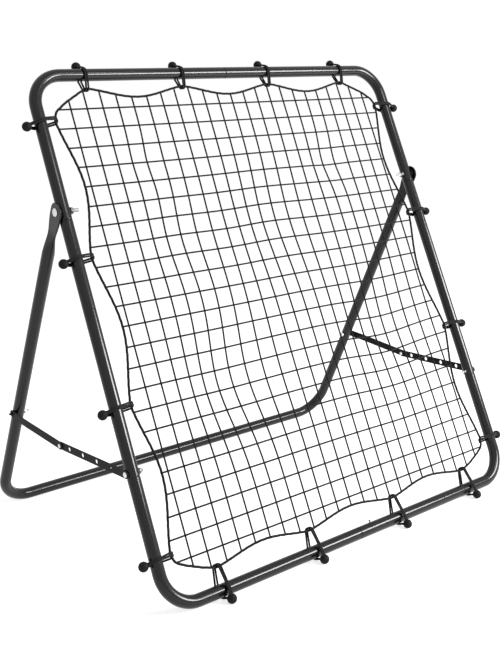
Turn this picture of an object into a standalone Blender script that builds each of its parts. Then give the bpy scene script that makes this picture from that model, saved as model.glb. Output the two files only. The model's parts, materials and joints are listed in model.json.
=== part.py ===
# Soccer rebound net: a tube frame that leans back on a folding rear leg,
# with a net drawn tight inside it by ball bungees.
# Metres. +X is the object's right, +Y its back and +Z up.
# The origin is on the floor, below the middle of the object.

from math import atan2, copysign, cos, pi, radians, sin, sqrt, tau

import bmesh
import bpy
from mathutils import Matrix, Vector
from mathutils.geometry import convex_hull_2d

# Shared fits
CLEARANCE = 0.0003  # between pieces that touch
HOLE_SIDES = 12
BOLT_SIDES = 12
HEAD_TOP_SHARE = 0.8  # a bolt head's face, as a share of its full radius
NUT_COLLAR_SHARE = 0.3  # of a lock nut's height
NUT_COLLAR_RADIUS_SHARE = 0.85  # of a lock nut's radius

# Steel tube
TUBE_RADIUS = 0.0125
TUBE_WALL = 0.0012
TUBE_SIDES = 16
BEND_STEPS = 6
SPIGOT_LENGTH = 0.045  # narrowed end that slides into the next tube

# Front frame, measured in its own leaning plane
FRAME_WIDTH = 0.962  # over the side tubes
FRAME_HEIGHT = 1.030  # from the axis of the bottom tube to that of the top tube
FRAME_BEND = 0.066
FRAME_LEAN = radians(23.8)
PIVOT_UP = 0.7535  # leg pivot, up the frame from the axis of the bottom tube
SEAM_BELOW_PIVOT = 0.0188
FRONT_BOLT_UP = 0.252  # front bolt of the brace, up the frame
SEAM_BELOW_FRONT_BOLT = 0.0085

# Screws that lock the seams in the middle of the bottom and top tubes
SCREW_FROM_SEAM = 0.038
SCREW_RADIUS = 0.0012
SCREW_DEPTH = 0.008
SCREW_NECK = 0.0024
SCREW_HEAD_RADIUS = 0.0024
SCREW_HEAD_HEIGHT = 0.0013
SCREW_SIDES = 8

# Rear leg
LEG_LEAN = radians(27.4)
LEG_BEND = 0.072
EYE_THICKNESS = 0.0034  # flattened end of the tube
EYE_TOP = 0.018  # round end above the pivot
EYE_FLAT = 0.012  # flat length below the pivot
EYE_FLARE = 0.084  # length over which the eye becomes round
EYE_NARROWED = 0.6  # share of that length by which the eye is no wider than the tube
EYE_THICKENS = 0.35  # and from which it swells to the tube's thickness
FLARE_STEPS = 6
EYE_TIP_STEPS = (radians(75), radians(50), radians(25))  # round end, from its top down
EYE_SQUARENESS = 0.35  # one is an oval section and zero is a flat bar
WASHER_RADIUS = 0.0095
WASHER_THICKNESS = 0.0012

# Pivot bolt
PIVOT_BOLT_RADIUS = 0.004
PIVOT_HEAD_RADIUS = 0.0082
PIVOT_HEAD_HEIGHT = 0.0026
PIVOT_NUT_RADIUS = 0.0075
PIVOT_NUT_HEIGHT = 0.0062
PIVOT_BOLT_TAIL = 0.012  # thread past the nut

# Folding braces
REAR_BOLT_DOWN = 0.507  # rear pin of the brace, down the leg from the pivot
KNUCKLE_REACH = 0.2330  # from the front bolt to the middle joint, along the line between the bolts
KNUCKLE_DROP = 0.0125  # the middle joint hangs this far below that line
STRAP_WIDTH = 0.014
STRAP_THICKNESS = 0.002
STRAP_END_STEPS = 4
SPARE_HOLES = 4
HOLE_PITCH = 0.050
KNUCKLE_OFFSET = 0.0094  # middle joint, out from the front bolt's strap plane to the split plane
FRONT_STRAP_FLAT = 0.016  # flat end at the front bolt
REAR_STRAP_FLAT = 0.060  # flat stretch that passes over the leg when folded
KNUCKLE_FLAT = 0.012  # flat ends at the middle joint

# Brace bolts
BRACE_BOLT_RADIUS = 0.003
BRACE_HEAD_RADIUS = 0.0055
BRACE_HEAD_HEIGHT = 0.0022
BRACE_NUT_RADIUS = 0.0058
BRACE_NUT_HEIGHT = 0.005
BRACE_BOLT_TAIL = 0.004
KNUCKLE_HEAD_RADIUS = 0.0048
REAR_PIN_RADIUS = 0.0023
REAR_PIN_FLANGE_RADIUS = 0.0045
REAR_PIN_FLANGE_HEIGHT = 0.0012
REAR_PIN_STUB = 0.0042
REAR_PIN_TAIL = 0.0065

# Net and its border, measured in the frame's plane
BORDER_DIAMETER = 0.004
STRAND_SHARE = 0.6  # strand thickness as a share of the border's
SIDE_GAP = 0.0322  # from a side tube's axis to the border at its bungees
TOP_GAP = 0.034
BOTTOM_GAP = 0.046
SIDE_SAG = 0.024  # the border draws in between two bungees
TOP_SAG = 0.017
BOTTOM_SAG = 0.013
MESHES_ACROSS = 4  # meshes between two bungees along the top and bottom
MESHES_UP = 5  # and along the sides
SEAT_HALF = 0.005  # straight bit of border inside a bungee's loop
WAVE = 0.006  # slack of the strands in the middle of the net
WAVES = 1.5  # in the width and in the height of the frame
WAVE_START = 0.6

# Ball bungees
BALL_RADIUS = 0.0095
BALL_REACH = 0.0280  # ball's centre from the tube's axis
CORD_DIAMETER = 0.003
HOOK_PLAY = 0.0005  # between the border and a loop that lies askew on it
TIES_FROM_SIDE = 0.118  # first bungee of the top and bottom, from the side tube's axis
TIE_PITCH_ACROSS = 0.232
TIES_FROM_END = 0.093  # first bungee of a side, from the axes of the bottom and top tubes
TIE_PITCH_UP = 0.2755
TOP_BALL_TIP = radians(30)  # the top balls hang to the back by this angle
SIDE_TIE_DROOPS = (radians(1), radians(5), radians(5), radians(8))  # from the bottom up
WRAP_STEP = radians(20)
HOOK_SIDES = 8
BALL_SEGMENTS = 10
BALL_RINGS = 7
STRAND_CREASE = 0.35  # height of the crease between a cord's two strands, in cord radii

# Worked out from the sizes above
SPIGOT_RADIUS = TUBE_RADIUS - TUBE_WALL - CLEARANCE
SOCKET_RADIUS = TUBE_RADIUS - TUBE_WALL
SOCKET_DEPTH = SPIGOT_LENGTH + CLEARANCE
THROUGH_TUBE = 4 * TUBE_RADIUS  # length of a drilling that passes right through a tube
SIDE_X = FRAME_WIDTH / 2 - TUBE_RADIUS
LOWER_SEAM = FRONT_BOLT_UP - SEAM_BELOW_FRONT_BOLT
UPPER_SEAM = PIVOT_UP - SEAM_BELOW_PIVOT
CORD_RADIUS = CORD_DIAMETER / 2
WRAP_RADIUS = TUBE_RADIUS + CLEARANCE + CORD_RADIUS
HOOK_RADIUS = BORDER_DIAMETER / 2 + HOOK_PLAY + CORD_RADIUS
FRAME_Z = WRAP_RADIUS + CORD_RADIUS  # the bottom tube stands on the cords under it
LEG_Z = TUBE_RADIUS * cos(pi / TUBE_SIDES)  # the floor bar stands on one flat of its facets
PIVOT_Y = PIVOT_UP * sin(FRAME_LEAN)
PIVOT_Z = FRAME_Z + PIVOT_UP * cos(FRAME_LEAN)
LEG_LENGTH = (PIVOT_Z - LEG_Z) / cos(LEG_LEAN)
LEG_PHASE = pi / TUBE_SIDES - LEG_LEAN  # turns one flat of the floor bar to the floor
FLOOR_BALL_DROP = FRAME_Z - BALL_RADIUS - CLEARANCE
FLOOR_BALL_OUT = sqrt(BALL_REACH**2 - FLOOR_BALL_DROP**2)
BACK_Y = PIVOT_Y + LEG_LENGTH * sin(LEG_LEAN) + TUBE_RADIUS
FRAME_Y = (FLOOR_BALL_OUT + BALL_RADIUS - BACK_Y) / 2  # centres the object on the origin

# Planes across the object at the leg's pivot, out from the frame's side tube
WASHER_X = FRAME_WIDTH / 2 + CLEARANCE
EYE_X = WASHER_X + WASHER_THICKNESS + CLEARANCE
LEG_X = EYE_X + EYE_THICKNESS / 2
PIVOT_HEAD_X = EYE_X + EYE_THICKNESS + CLEARANCE
NUT_X = FRAME_WIDTH / 2 - 2 * TUBE_RADIUS - CLEARANCE

# Planes of the straps, each at its inner face
FRONT_STRAP_X = FRAME_WIDTH / 2 + CLEARANCE
REAR_STRAP_X = LEG_X + TUBE_RADIUS + CLEARANCE
SPLIT_X = FRONT_STRAP_X + KNUCKLE_OFFSET
KNUCKLE_FRONT_X = SPLIT_X - STRAP_THICKNESS
KNUCKLE_REAR_X = SPLIT_X + CLEARANCE

SIDES = {"left": -1, "right": 1}
X_AXIS = Vector((1, 0, 0))
Y_AXIS = Vector((0, 1, 0))
Z_AXIS = Vector((0, 0, 1))


def clear_scene():
    for item in list(bpy.data.objects):
        bpy.data.objects.remove(item, do_unlink=True)


def make_material(name, colour, roughness, metallic=0.0):
    made = bpy.data.materials.new(name)
    made.use_nodes = True
    shader = made.node_tree.nodes["Principled BSDF"]
    shader.inputs["Base Color"].default_value = (*colour, 1)
    shader.inputs["Roughness"].default_value = roughness
    shader.inputs["Metallic"].default_value = metallic
    return made


def add_empty(name, parent=None, location=(0, 0, 0), tilt=0.0):
    empty = bpy.data.objects.new(name, None)
    bpy.context.scene.collection.objects.link(empty)
    empty.parent = parent
    empty.location = location
    empty.rotation_euler = (tilt, 0, 0)
    return empty


def finish_mesh(name, bm, sharp=radians(38)):
    bmesh.ops.recalc_face_normals(bm, faces=bm.faces)
    mesh = bpy.data.meshes.new(name)
    bm.to_mesh(mesh)
    bm.free()
    mesh.shade_smooth()
    mesh.set_sharp_from_angle(angle=sharp)
    return mesh


def add_piece(name, mesh, material, parent, location=(0, 0, 0), rotation=(0, 0, 0)):
    piece = bpy.data.objects.new(name, mesh)
    bpy.context.scene.collection.objects.link(piece)
    if not mesh.materials:
        mesh.materials.append(material)
    piece.parent = parent
    piece.location = location
    piece.rotation_euler = rotation
    return piece


def ring(centre, first, second, half_first, half_second, sides, phase=0.0, power=1.0):
    # A power below one squares the round section up.
    points = []
    for k in range(sides):
        c = cos(phase + tau * k / sides)
        s = sin(phase + tau * k / sides)
        points.append(
            centre
            + first * half_first * copysign(abs(c) ** power, c)
            + second * half_second * copysign(abs(s) ** power, s)
        )
    return points


def skin(bm, rings, closed=False):
    # Joins each ring of points to the next, and caps the ends unless the rings go round.
    loops = [[bm.verts.new(point) for point in points] for points in rings]
    following = loops[1:] + loops[:1] if closed else loops[1:]
    for near, far in zip(loops, following):
        for k in range(len(near)):
            bm.faces.new((near[k - 1], near[k], far[k], far[k - 1]))
    if not closed:
        bm.faces.new(loops[0])
        bm.faces.new(loops[-1][::-1])


def drill(piece, holes):
    # Each hole is its centre, direction, radius and length, in the space of the piece's parent.
    bm = bmesh.new()
    for centre, direction, radius, length in holes:
        turn = direction.to_track_quat("Z", "Y").to_matrix().to_4x4()
        bmesh.ops.create_cone(
            bm,
            cap_ends=True,
            segments=HOLE_SIDES,
            radius1=radius,
            radius2=radius,
            depth=length,
            matrix=Matrix.Translation(centre) @ turn,
        )
    cutter = bpy.data.objects.new(piece.name + "_drill", finish_mesh("drill", bm))
    bpy.context.scene.collection.objects.link(cutter)
    cutter.parent = piece.parent
    cutter.hide_render = True
    cutter.display_type = "WIRE"
    cut = piece.modifiers.new("holes", "BOOLEAN")
    cut.operation = "DIFFERENCE"
    cut.object = cutter


def turned_mesh(name, stations, hexagons=()):
    # A solid turned about X from (x, radius) stations. The stations listed in hexagons have six flats.
    bm = bmesh.new()
    skin(bm, turned_rings(stations, hexagons))
    return finish_mesh(name, bm)


def turned_rings(stations, hexagons=()):
    rings = []
    for number, (x, radius) in enumerate(stations):
        points = ring(Vector((x, 0, 0)), Y_AXIS, Z_AXIS, radius, radius, BOLT_SIDES)
        if number in hexagons:
            for k in range(1, BOLT_SIDES, 2):
                points[k] = Vector((x, 0, 0)) + (points[k] - Vector((x, 0, 0))) * cos(pi / 6)
        rings.append(points)
    return rings


def nut_mesh(name, x, side, radius, bore, height):
    # A nut whose outer face is at x, with a round collar on its inner end.
    collar = height * NUT_COLLAR_SHARE
    rim = radius * NUT_COLLAR_RADIUS_SHARE
    stations = (
        (x * side, bore),
        (x * side, radius),
        ((x - height + collar) * side, radius),
        ((x - height + collar) * side, rim),
        ((x - height) * side, rim),
        ((x - height) * side, bore),
    )
    bm = bmesh.new()
    skin(bm, turned_rings(stations, hexagons=(1, 2)), closed=True)
    return finish_mesh(name, bm)


# Front frame


def frame_point(u, v):
    return Vector((u, 0, v))


def bend_arc(corner, start, finish, radius):
    # Stations round a bend: each is a centre and the direction of travel there.
    centre = corner - start * radius + finish * radius
    stations = []
    for k in range(1, BEND_STEPS):
        angle = pi / 2 * k / BEND_STEPS
        spot = centre - finish * radius * cos(angle) + start * radius * sin(angle)
        stations.append((spot, start * cos(angle) + finish * sin(angle)))
    return stations


def tube_end(kind):
    # Radius of the narrowed end or of the mouth, and how far it reaches past the tube's end.
    if kind == "spigot":
        return SPIGOT_RADIUS, SPIGOT_LENGTH
    return SOCKET_RADIUS, -SOCKET_DEPTH


def tube_mesh(name, path, kinds):
    # path holds (centre, direction) stations from end to end.
    stations = [(spot, way, TUBE_RADIUS) for spot, way in path]
    radius, reach = tube_end(kinds[0])
    spot, way = path[0]
    stations = [(spot - way * reach, way, radius), (spot, way, radius)] + stations
    radius, reach = tube_end(kinds[1])
    spot, way = path[-1]
    stations += [(spot, way, radius), (spot + way * reach, way, radius)]
    rings = []
    for spot, way, radius in stations:
        rings.append(ring(spot, Y_AXIS, way.cross(Y_AXIS), radius, radius, TUBE_SIDES))
    bm = bmesh.new()
    skin(bm, rings)
    return finish_mesh(name, bm)


def corner_path(side, level, rise, seam, centre_gap):
    # From the middle seam of the bottom or top tube, round the corner to the side seam.
    start = X_AXIS * side
    finish = Z_AXIS * rise
    corner = frame_point(SIDE_X * side, level)
    path = [(frame_point(side * centre_gap, level), start), (corner - start * FRAME_BEND, start)]
    path += bend_arc(corner, start, finish, FRAME_BEND)
    path += [(corner + finish * FRAME_BEND, finish), (frame_point(SIDE_X * side, seam), finish)]
    return path


def add_frame_tubes(plane, paint):
    half_gap = CLEARANCE / 2
    screw_hole = SCREW_RADIUS + CLEARANCE
    screw_depth = 2 * (SCREW_DEPTH + CLEARANCE)
    for word, side in SIDES.items():
        pivot_hole = (
            frame_point(SIDE_X * side, PIVOT_UP),
            X_AXIS,
            PIVOT_BOLT_RADIUS + CLEARANCE,
            THROUGH_TUBE,
        )
        brace_hole = (
            frame_point(SIDE_X * side, FRONT_BOLT_UP),
            X_AXIS,
            BRACE_BOLT_RADIUS + CLEARANCE,
            THROUGH_TUBE,
        )
        bottom_screw_hole = (
            frame_point(SCREW_FROM_SEAM, TUBE_RADIUS),
            Z_AXIS,
            screw_hole,
            screw_depth,
        )
        top_screw_hole = (
            frame_point(SCREW_FROM_SEAM, FRAME_HEIGHT) + Y_AXIS * TUBE_RADIUS,
            Y_AXIS,
            screw_hole,
            screw_depth,
        )
        middle = "spigot" if side < 0 else "socket"

        path = corner_path(side, 0, 1, LOWER_SEAM - half_gap, half_gap)
        mesh = tube_mesh("bottom_tube_" + word, path, (middle, "spigot"))
        drill(add_piece(mesh.name, mesh, paint, plane), [brace_hole, bottom_screw_hole])

        path = [
            (frame_point(SIDE_X * side, LOWER_SEAM + half_gap), Z_AXIS),
            (frame_point(SIDE_X * side, UPPER_SEAM - half_gap), Z_AXIS),
        ]
        mesh = tube_mesh("side_tube_" + word, path, ("socket", "spigot"))
        drill(add_piece(mesh.name, mesh, paint, plane), [brace_hole, pivot_hole])

        path = corner_path(side, FRAME_HEIGHT, -1, UPPER_SEAM + half_gap, half_gap)
        mesh = tube_mesh("top_tube_" + word, path, (middle, "socket"))
        drill(add_piece(mesh.name, mesh, paint, plane), [pivot_hole, top_screw_hole])


def add_seam_screws(plane, steel):
    stations = (
        (-SCREW_DEPTH, SCREW_RADIUS),
        (SCREW_NECK, SCREW_RADIUS),
        (SCREW_NECK, SCREW_HEAD_RADIUS),
        (SCREW_NECK + SCREW_HEAD_HEIGHT, SCREW_HEAD_RADIUS),
    )
    bm = bmesh.new()
    skin(
        bm,
        [
            ring(Z_AXIS * up, X_AXIS, Y_AXIS, radius, radius, SCREW_SIDES)
            for up, radius in stations
        ],
    )
    mesh = finish_mesh("seam_screw", bm)
    spot = frame_point(SCREW_FROM_SEAM, TUBE_RADIUS)
    add_piece("bottom_seam_screw", mesh, steel, plane, spot)
    spot = frame_point(SCREW_FROM_SEAM, FRAME_HEIGHT) + Y_AXIS * TUBE_RADIUS
    add_piece("top_seam_screw", mesh, steel, plane, spot, (-pi / 2, 0, 0))


# Net


def tie_places():
    # Bungee places along the bottom and top, and up the sides.
    outer = SIDE_X - TIES_FROM_SIDE
    inner = outer - TIE_PITCH_ACROSS
    low = TIES_FROM_END
    high = FRAME_HEIGHT - TIES_FROM_END
    return (-outer, -inner, inner, outer), (low, low + TIE_PITCH_UP, high - TIE_PITCH_UP, high)


def mesh_lines(ties, meshes):
    # Strand lines that leave each bungee in the middle of a mesh.
    lines = []
    for near, far in zip(ties, ties[1:]):
        pitch = (far - near) / meshes
        lines += [near + pitch * (k + 0.5) for k in range(meshes)]
    first = 2 * ties[0] - lines[0]
    last = 2 * ties[-1] - lines[-1]
    return [first] + lines + [last]


def seats(ties):
    return [tie + half for tie in ties for half in (-SEAT_HALF, SEAT_HALF)]


def drawn_in(place, ties, sag):
    # How far the border is drawn in from its bungees at this place.
    for near, far in zip(ties, ties[1:]):
        half = (far - near) / 2 - SEAT_HALF
        along = (place - (near + far) / 2) / half
        if abs(along) < 1:
            return sag * (1 - along**2)
    return 0.0


def cut_corner(place, last_seat, across_last_seat, end, across_end):
    # Past the last bungee the border runs straight to the last bungee of the next side.
    share = max(0.0, (place - last_seat) / (end - last_seat))
    return share * (across_last_seat - across_end)


def border_level(u, level, sag, ties, inward, side_end):
    # Height of the bottom or top border at u. side_end is the side border's nearest seat.
    seat = ties[-1] + SEAT_HALF
    drop = cut_corner(abs(u), seat, level, SIDE_X - SIDE_GAP, side_end) * -inward
    return level + inward * (drawn_in(u, ties, sag) + drop)


def border_side(v, across, up, bottom, top):
    # Distance of the side border from the middle at height v.
    reach = SIDE_X - SIDE_GAP
    low_seat = up[0] - SEAT_HALF
    high_seat = up[-1] + SEAT_HALF
    corner = reach - (across[-1] + SEAT_HALF)
    if v < low_seat:
        return reach - corner * (low_seat - v) / (low_seat - bottom)
    if v > high_seat:
        return reach - corner * (v - high_seat) / (top - high_seat)
    return reach - drawn_in(v, up, SIDE_SAG)


def net_points():
    # Net vertices by line numbers, and the extra border vertices at the bungees by side.
    across, up = tie_places()
    bottom = BOTTOM_GAP
    top = FRAME_HEIGHT - TOP_GAP
    columns = mesh_lines(across, MESHES_ACROSS)
    rows = mesh_lines(up, MESHES_UP)
    last_column = len(columns) + 1
    last_row = len(rows) + 1

    def low(u):
        return border_level(u, bottom, BOTTOM_SAG, across, 1, up[0] - SEAT_HALF)

    def high(u):
        return border_level(u, top, TOP_SAG, across, -1, up[-1] + SEAT_HALF)

    def out(v):
        return border_side(v, across, up, bottom, top)

    spots = {}
    for i, u in enumerate(columns, 1):
        spots[i, 0] = (u, low(u))
        spots[i, last_row] = (u, high(u))
        for j, v in enumerate(rows, 1):
            calm = sin(pi * i / last_column) * sin(pi * j / last_row)
            side_wave = WAVE * calm * sin(tau * v / FRAME_HEIGHT * WAVES + WAVE_START)
            lift_wave = WAVE * calm * sin(tau * u / FRAME_WIDTH * WAVES)
            spots[i, j] = (u - side_wave, v - lift_wave)
    for j, v in enumerate(rows, 1):
        spots[0, j] = (-out(v), v)
        spots[last_column, j] = (out(v), v)
    for i, near in ((0, 1), (last_column, last_column - 1)):
        for j, beside in ((0, 1), (last_row, last_row - 1)):
            first = Vector(spots[i, beside])
            second = Vector(spots[near, j])
            spots[i, j] = tuple((first + second) / 2)
    extras = {
        "bottom": [(u, low(u)) for u in seats(across)],
        "top": [(u, high(u)) for u in seats(across)],
        "left": [(-out(v), v) for v in seats(up)],
        "right": [(out(v), v) for v in seats(up)],
    }
    return spots, extras, last_column, last_row


def add_net(plane, twine):
    spots, extras, last_column, last_row = net_points()
    bm = bmesh.new()
    knots = {key: bm.verts.new(frame_point(*spot)) for key, spot in spots.items()}
    added = {
        side: [bm.verts.new(frame_point(*spot)) for spot in places]
        for side, places in extras.items()
    }
    border = [
        knot
        for (i, j), knot in knots.items()
        if i in (0, last_column) or j in (0, last_row)
    ]
    for places in added.values():
        border += places

    def between(side, first, second):
        # First knot and the seats up to the second, when the stretch is on the border.
        axis = 0 if side in ("bottom", "top") else 2
        low, high = sorted((first.co[axis], second.co[axis]))
        inside = [knot for knot in added[side] if low < knot.co[axis] < high]
        inside.sort(key=lambda knot: knot.co[axis], reverse=first.co[axis] == high)
        return [first] + inside

    for i in range(last_column):
        for j in range(last_row):
            low_left = knots[i, j]
            low_right = knots[i + 1, j]
            high_right = knots[i + 1, j + 1]
            high_left = knots[i, j + 1]
            loop = between("bottom", low_left, low_right) if j == 0 else [low_left]
            loop += between("right", low_right, high_right) if i == last_column - 1 else [low_right]
            loop += between("top", high_right, high_left) if j == last_row - 1 else [high_right]
            loop += between("left", high_left, low_left) if i == 0 else [high_left]
            bm.faces.new(loop)
    bm.verts.index_update()
    thick = [knot.index for knot in border]
    net = add_piece("net", finish_mesh("net", bm), twine, plane)
    group = net.vertex_groups.new(name="border")
    group.add(thick, 1.0, "REPLACE")
    strands = net.modifiers.new("strands", "WIREFRAME")
    strands.thickness = BORDER_DIAMETER
    strands.offset = 0
    strands.use_boundary = True
    strands.use_replace = True
    strands.use_even_offset = True
    strands.vertex_group = group.name
    strands.thickness_vertex_group = STRAND_SHARE


# Ball bungees


def pulled_line(gap, ball):
    # The cord is a tight belt round the tube, the net's border and the ball's centre.
    # Its plane has x away from the net and y to the back, with the tube's axis at zero.
    points = [Vector(ball)]
    reach = WRAP_RADIUS / cos(WRAP_STEP / 2)
    for k in range(round(tau / WRAP_STEP)):
        angle = FRAME_LEAN + WRAP_STEP * (k + 0.5)
        points.append(Vector((cos(angle), sin(angle))) * reach)
    reach = HOOK_RADIUS / cos(pi / HOOK_SIDES)
    for k in range(HOOK_SIDES):
        angle = tau * (k + 0.5) / HOOK_SIDES
        points.append(Vector((-gap, 0)) + Vector((cos(angle), sin(angle))) * reach)
    order = convex_hull_2d(points)
    start = order.index(0)
    return [points[k] for k in order[start:] + order[:start]]


def doubled_cord(line, out, width):
    # Two strands side by side, carried round the belt with mitred corners.
    profile = (
        (0.0, STRAND_CREASE),
        (-1.0, 1.0),
        (-2.0, 0.0),
        (-1.0, -1.0),
        (0.0, -STRAND_CREASE),
        (1.0, -1.0),
        (2.0, 0.0),
        (1.0, 1.0),
    )
    rings = []
    for k, point in enumerate(line):
        before = (point - line[k - 1]).normalized()
        after = (line[(k + 1) % len(line)] - point).normalized()
        bisector = Vector((before.y + after.y, -before.x - after.x)).normalized()
        mitre = 1 / bisector.dot(Vector((before.y, -before.x)))
        rings.append(
            [
                out * (point.x + bisector.x * mitre * CORD_RADIUS * high)
                + Y_AXIS * (point.y + bisector.y * mitre * CORD_RADIUS * high)
                + width * CORD_RADIUS * wide
                for wide, high in profile
            ]
        )
    return rings


def tie_mesh(name, out, width, gap, ball):
    # Ball and doubled cord in one, with the tube's axis at the origin.
    bm = bmesh.new()
    skin(bm, doubled_cord(pulled_line(gap, ball), out, width), closed=True)
    cord = bpy.data.objects.new("cord", finish_mesh("cord", bm))
    bm = bmesh.new()
    bmesh.ops.create_uvsphere(
        bm, u_segments=BALL_SEGMENTS, v_segments=BALL_RINGS, radius=BALL_RADIUS
    )
    turn = out.to_track_quat("Z", "Y").to_matrix().to_4x4()
    centre = out * ball[0] + Y_AXIS * ball[1]
    bmesh.ops.transform(bm, matrix=Matrix.Translation(centre) @ turn, verts=bm.verts)
    sphere = bpy.data.objects.new("sphere", finish_mesh("sphere", bm))
    bpy.context.scene.collection.objects.link(cord)
    bpy.context.scene.collection.objects.link(sphere)
    join = sphere.modifiers.new("join", "BOOLEAN")
    join.operation = "UNION"
    join.object = cord
    graph = bpy.context.evaluated_depsgraph_get()
    mesh = bpy.data.meshes.new_from_object(sphere.evaluated_get(graph))
    mesh.name = name
    bpy.data.objects.remove(cord)
    bpy.data.objects.remove(sphere)
    return mesh


def add_ties(plane, elastic):
    across, up = tie_places()
    side_ball = (BALL_REACH, 0)
    top_ball = (BALL_REACH * cos(TOP_BALL_TIP), BALL_REACH * sin(TOP_BALL_TIP))
    # The bottom balls lie on the floor in front of the tube.
    lean = atan2(-FLOOR_BALL_OUT, FLOOR_BALL_DROP) + FRAME_LEAN
    floor_ball = (BALL_REACH * cos(lean), BALL_REACH * sin(lean))
    side = tie_mesh("side_tie", -X_AXIS, Z_AXIS, SIDE_GAP, side_ball)
    top = tie_mesh("top_tie", Z_AXIS, X_AXIS, TOP_GAP, top_ball)
    bottom = tie_mesh("bottom_tie", -Z_AXIS, X_AXIS, BOTTOM_GAP, floor_ball)
    for number, u in enumerate(across, 1):
        add_piece(f"ball_bungee_top_{number}", top, elastic, plane, frame_point(u, FRAME_HEIGHT))
        add_piece(f"ball_bungee_bottom_{number}", bottom, elastic, plane, frame_point(u, 0))
    for number, (v, droop) in enumerate(zip(up, SIDE_TIE_DROOPS), 1):
        level = v - SIDE_GAP * sin(droop)
        for word, sign in SIDES.items():
            add_piece(
                f"ball_bungee_{word}_{number}",
                side,
                elastic,
                plane,
                frame_point(SIDE_X * sign, level),
                (0, -droop, 0 if sign < 0 else pi),
            )


# Rear leg


def eased(share):
    # From 0 to 1 with a soft start and end.
    return share * share * (3 - 2 * share)


def eye_rings(side):
    # From the round tip of the flattened end down to the round tube, with the pivot at z = 0.
    eye_half = pi * TUBE_RADIUS / 2  # a tube pressed flat is half its girth wide
    thin = EYE_THICKNESS / 2
    flat = EYE_SQUARENESS
    sections = [
        (EYE_TOP * sin(angle), thin, eye_half * cos(angle), flat) for angle in EYE_TIP_STEPS
    ]
    sections.append((0, thin, eye_half, flat))
    for k in range(FLARE_STEPS + 1):
        share = k / FLARE_STEPS
        swell = eased(max(0, share - EYE_THICKENS) / (1 - EYE_THICKENS))
        thick = thin + (TUBE_RADIUS - thin) * swell
        wide = eye_half + (TUBE_RADIUS - eye_half) * eased(min(1, share / EYE_NARROWED))
        sections.append((-EYE_FLAT - EYE_FLARE * share, thick, wide, flat + (1 - flat) * swell))
    rings = []
    for z, thick, wide, power in sections:
        spot = Vector((LEG_X * side, 0, z))
        out = X_AXIS * side
        rings.append(ring(spot, out, Y_AXIS, thick, wide, TUBE_SIDES, LEG_PHASE, power))
    return rings


def add_leg(axis, paint):
    low = -LEG_LENGTH
    left = Vector((-LEG_X, 0, low))
    right = Vector((LEG_X, 0, low))
    path = [(left + Z_AXIS * LEG_BEND, -Z_AXIS)]
    path += bend_arc(left, -Z_AXIS, X_AXIS, LEG_BEND)
    path += [(left + X_AXIS * LEG_BEND, X_AXIS), (right - X_AXIS * LEG_BEND, X_AXIS)]
    path += bend_arc(right, X_AXIS, Z_AXIS, LEG_BEND)
    path += [(right + Z_AXIS * LEG_BEND, Z_AXIS)]
    bars = [
        ring(spot, way.cross(-Y_AXIS), Y_AXIS, TUBE_RADIUS, TUBE_RADIUS, TUBE_SIDES, LEG_PHASE)
        for spot, way in path
    ]
    bm = bmesh.new()
    skin(bm, eye_rings(-1) + bars + eye_rings(1)[::-1])
    leg = add_piece("rear_leg", finish_mesh("rear_leg", bm), paint, axis)
    holes = []
    for side in SIDES.values():
        pivot = Vector((LEG_X * side, 0, 0))
        pin = Vector((LEG_X * side, 0, -REAR_BOLT_DOWN))
        holes.append((pivot, X_AXIS, PIVOT_BOLT_RADIUS + CLEARANCE, THROUGH_TUBE))
        holes.append((pin, X_AXIS, REAR_PIN_RADIUS + CLEARANCE, THROUGH_TUBE))
    drill(leg, holes)


def add_pivots(plane, steel):
    hole = PIVOT_BOLT_RADIUS + CLEARANCE
    tail = NUT_X - PIVOT_NUT_HEIGHT - PIVOT_BOLT_TAIL
    for word, side in SIDES.items():
        spot = frame_point(0, PIVOT_UP)
        head = PIVOT_HEAD_X + PIVOT_HEAD_HEIGHT
        bolt = turned_mesh(
            "pivot_bolt_" + word,
            (
                (tail * side, PIVOT_BOLT_RADIUS),
                (PIVOT_HEAD_X * side, PIVOT_BOLT_RADIUS),
                (PIVOT_HEAD_X * side, PIVOT_HEAD_RADIUS),
                ((head - PIVOT_HEAD_HEIGHT / 2) * side, PIVOT_HEAD_RADIUS),
                (head * side, PIVOT_HEAD_RADIUS * HEAD_TOP_SHARE),
            ),
        )
        add_piece(bolt.name, bolt, steel, plane, spot)
        nut = nut_mesh("pivot_nut_" + word, NUT_X, side, PIVOT_NUT_RADIUS, hole, PIVOT_NUT_HEIGHT)
        add_piece(nut.name, nut, steel, plane, spot)
        bm = bmesh.new()
        stations = (
            (WASHER_X * side, hole),
            (WASHER_X * side, WASHER_RADIUS),
            ((WASHER_X + WASHER_THICKNESS) * side, WASHER_RADIUS),
            ((WASHER_X + WASHER_THICKNESS) * side, hole),
        )
        skin(bm, turned_rings(stations), closed=True)
        washer = finish_mesh("pivot_washer_" + word, bm)
        add_piece(washer.name, washer, steel, plane, spot)


# Folding braces


def brace_places():
    # World (y, z) of the front bolt, the middle joint and the rear pin.
    front = Vector((FRONT_BOLT_UP * sin(FRAME_LEAN), FRAME_Z + FRONT_BOLT_UP * cos(FRAME_LEAN)))
    rear = Vector((PIVOT_Y + REAR_BOLT_DOWN * sin(LEG_LEAN), PIVOT_Z - REAR_BOLT_DOWN * cos(LEG_LEAN)))
    along = (rear - front).normalized()
    below = Vector((along.y, -along.x))
    return front, front + along * KNUCKLE_REACH + below * KNUCKLE_DROP, rear


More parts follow.
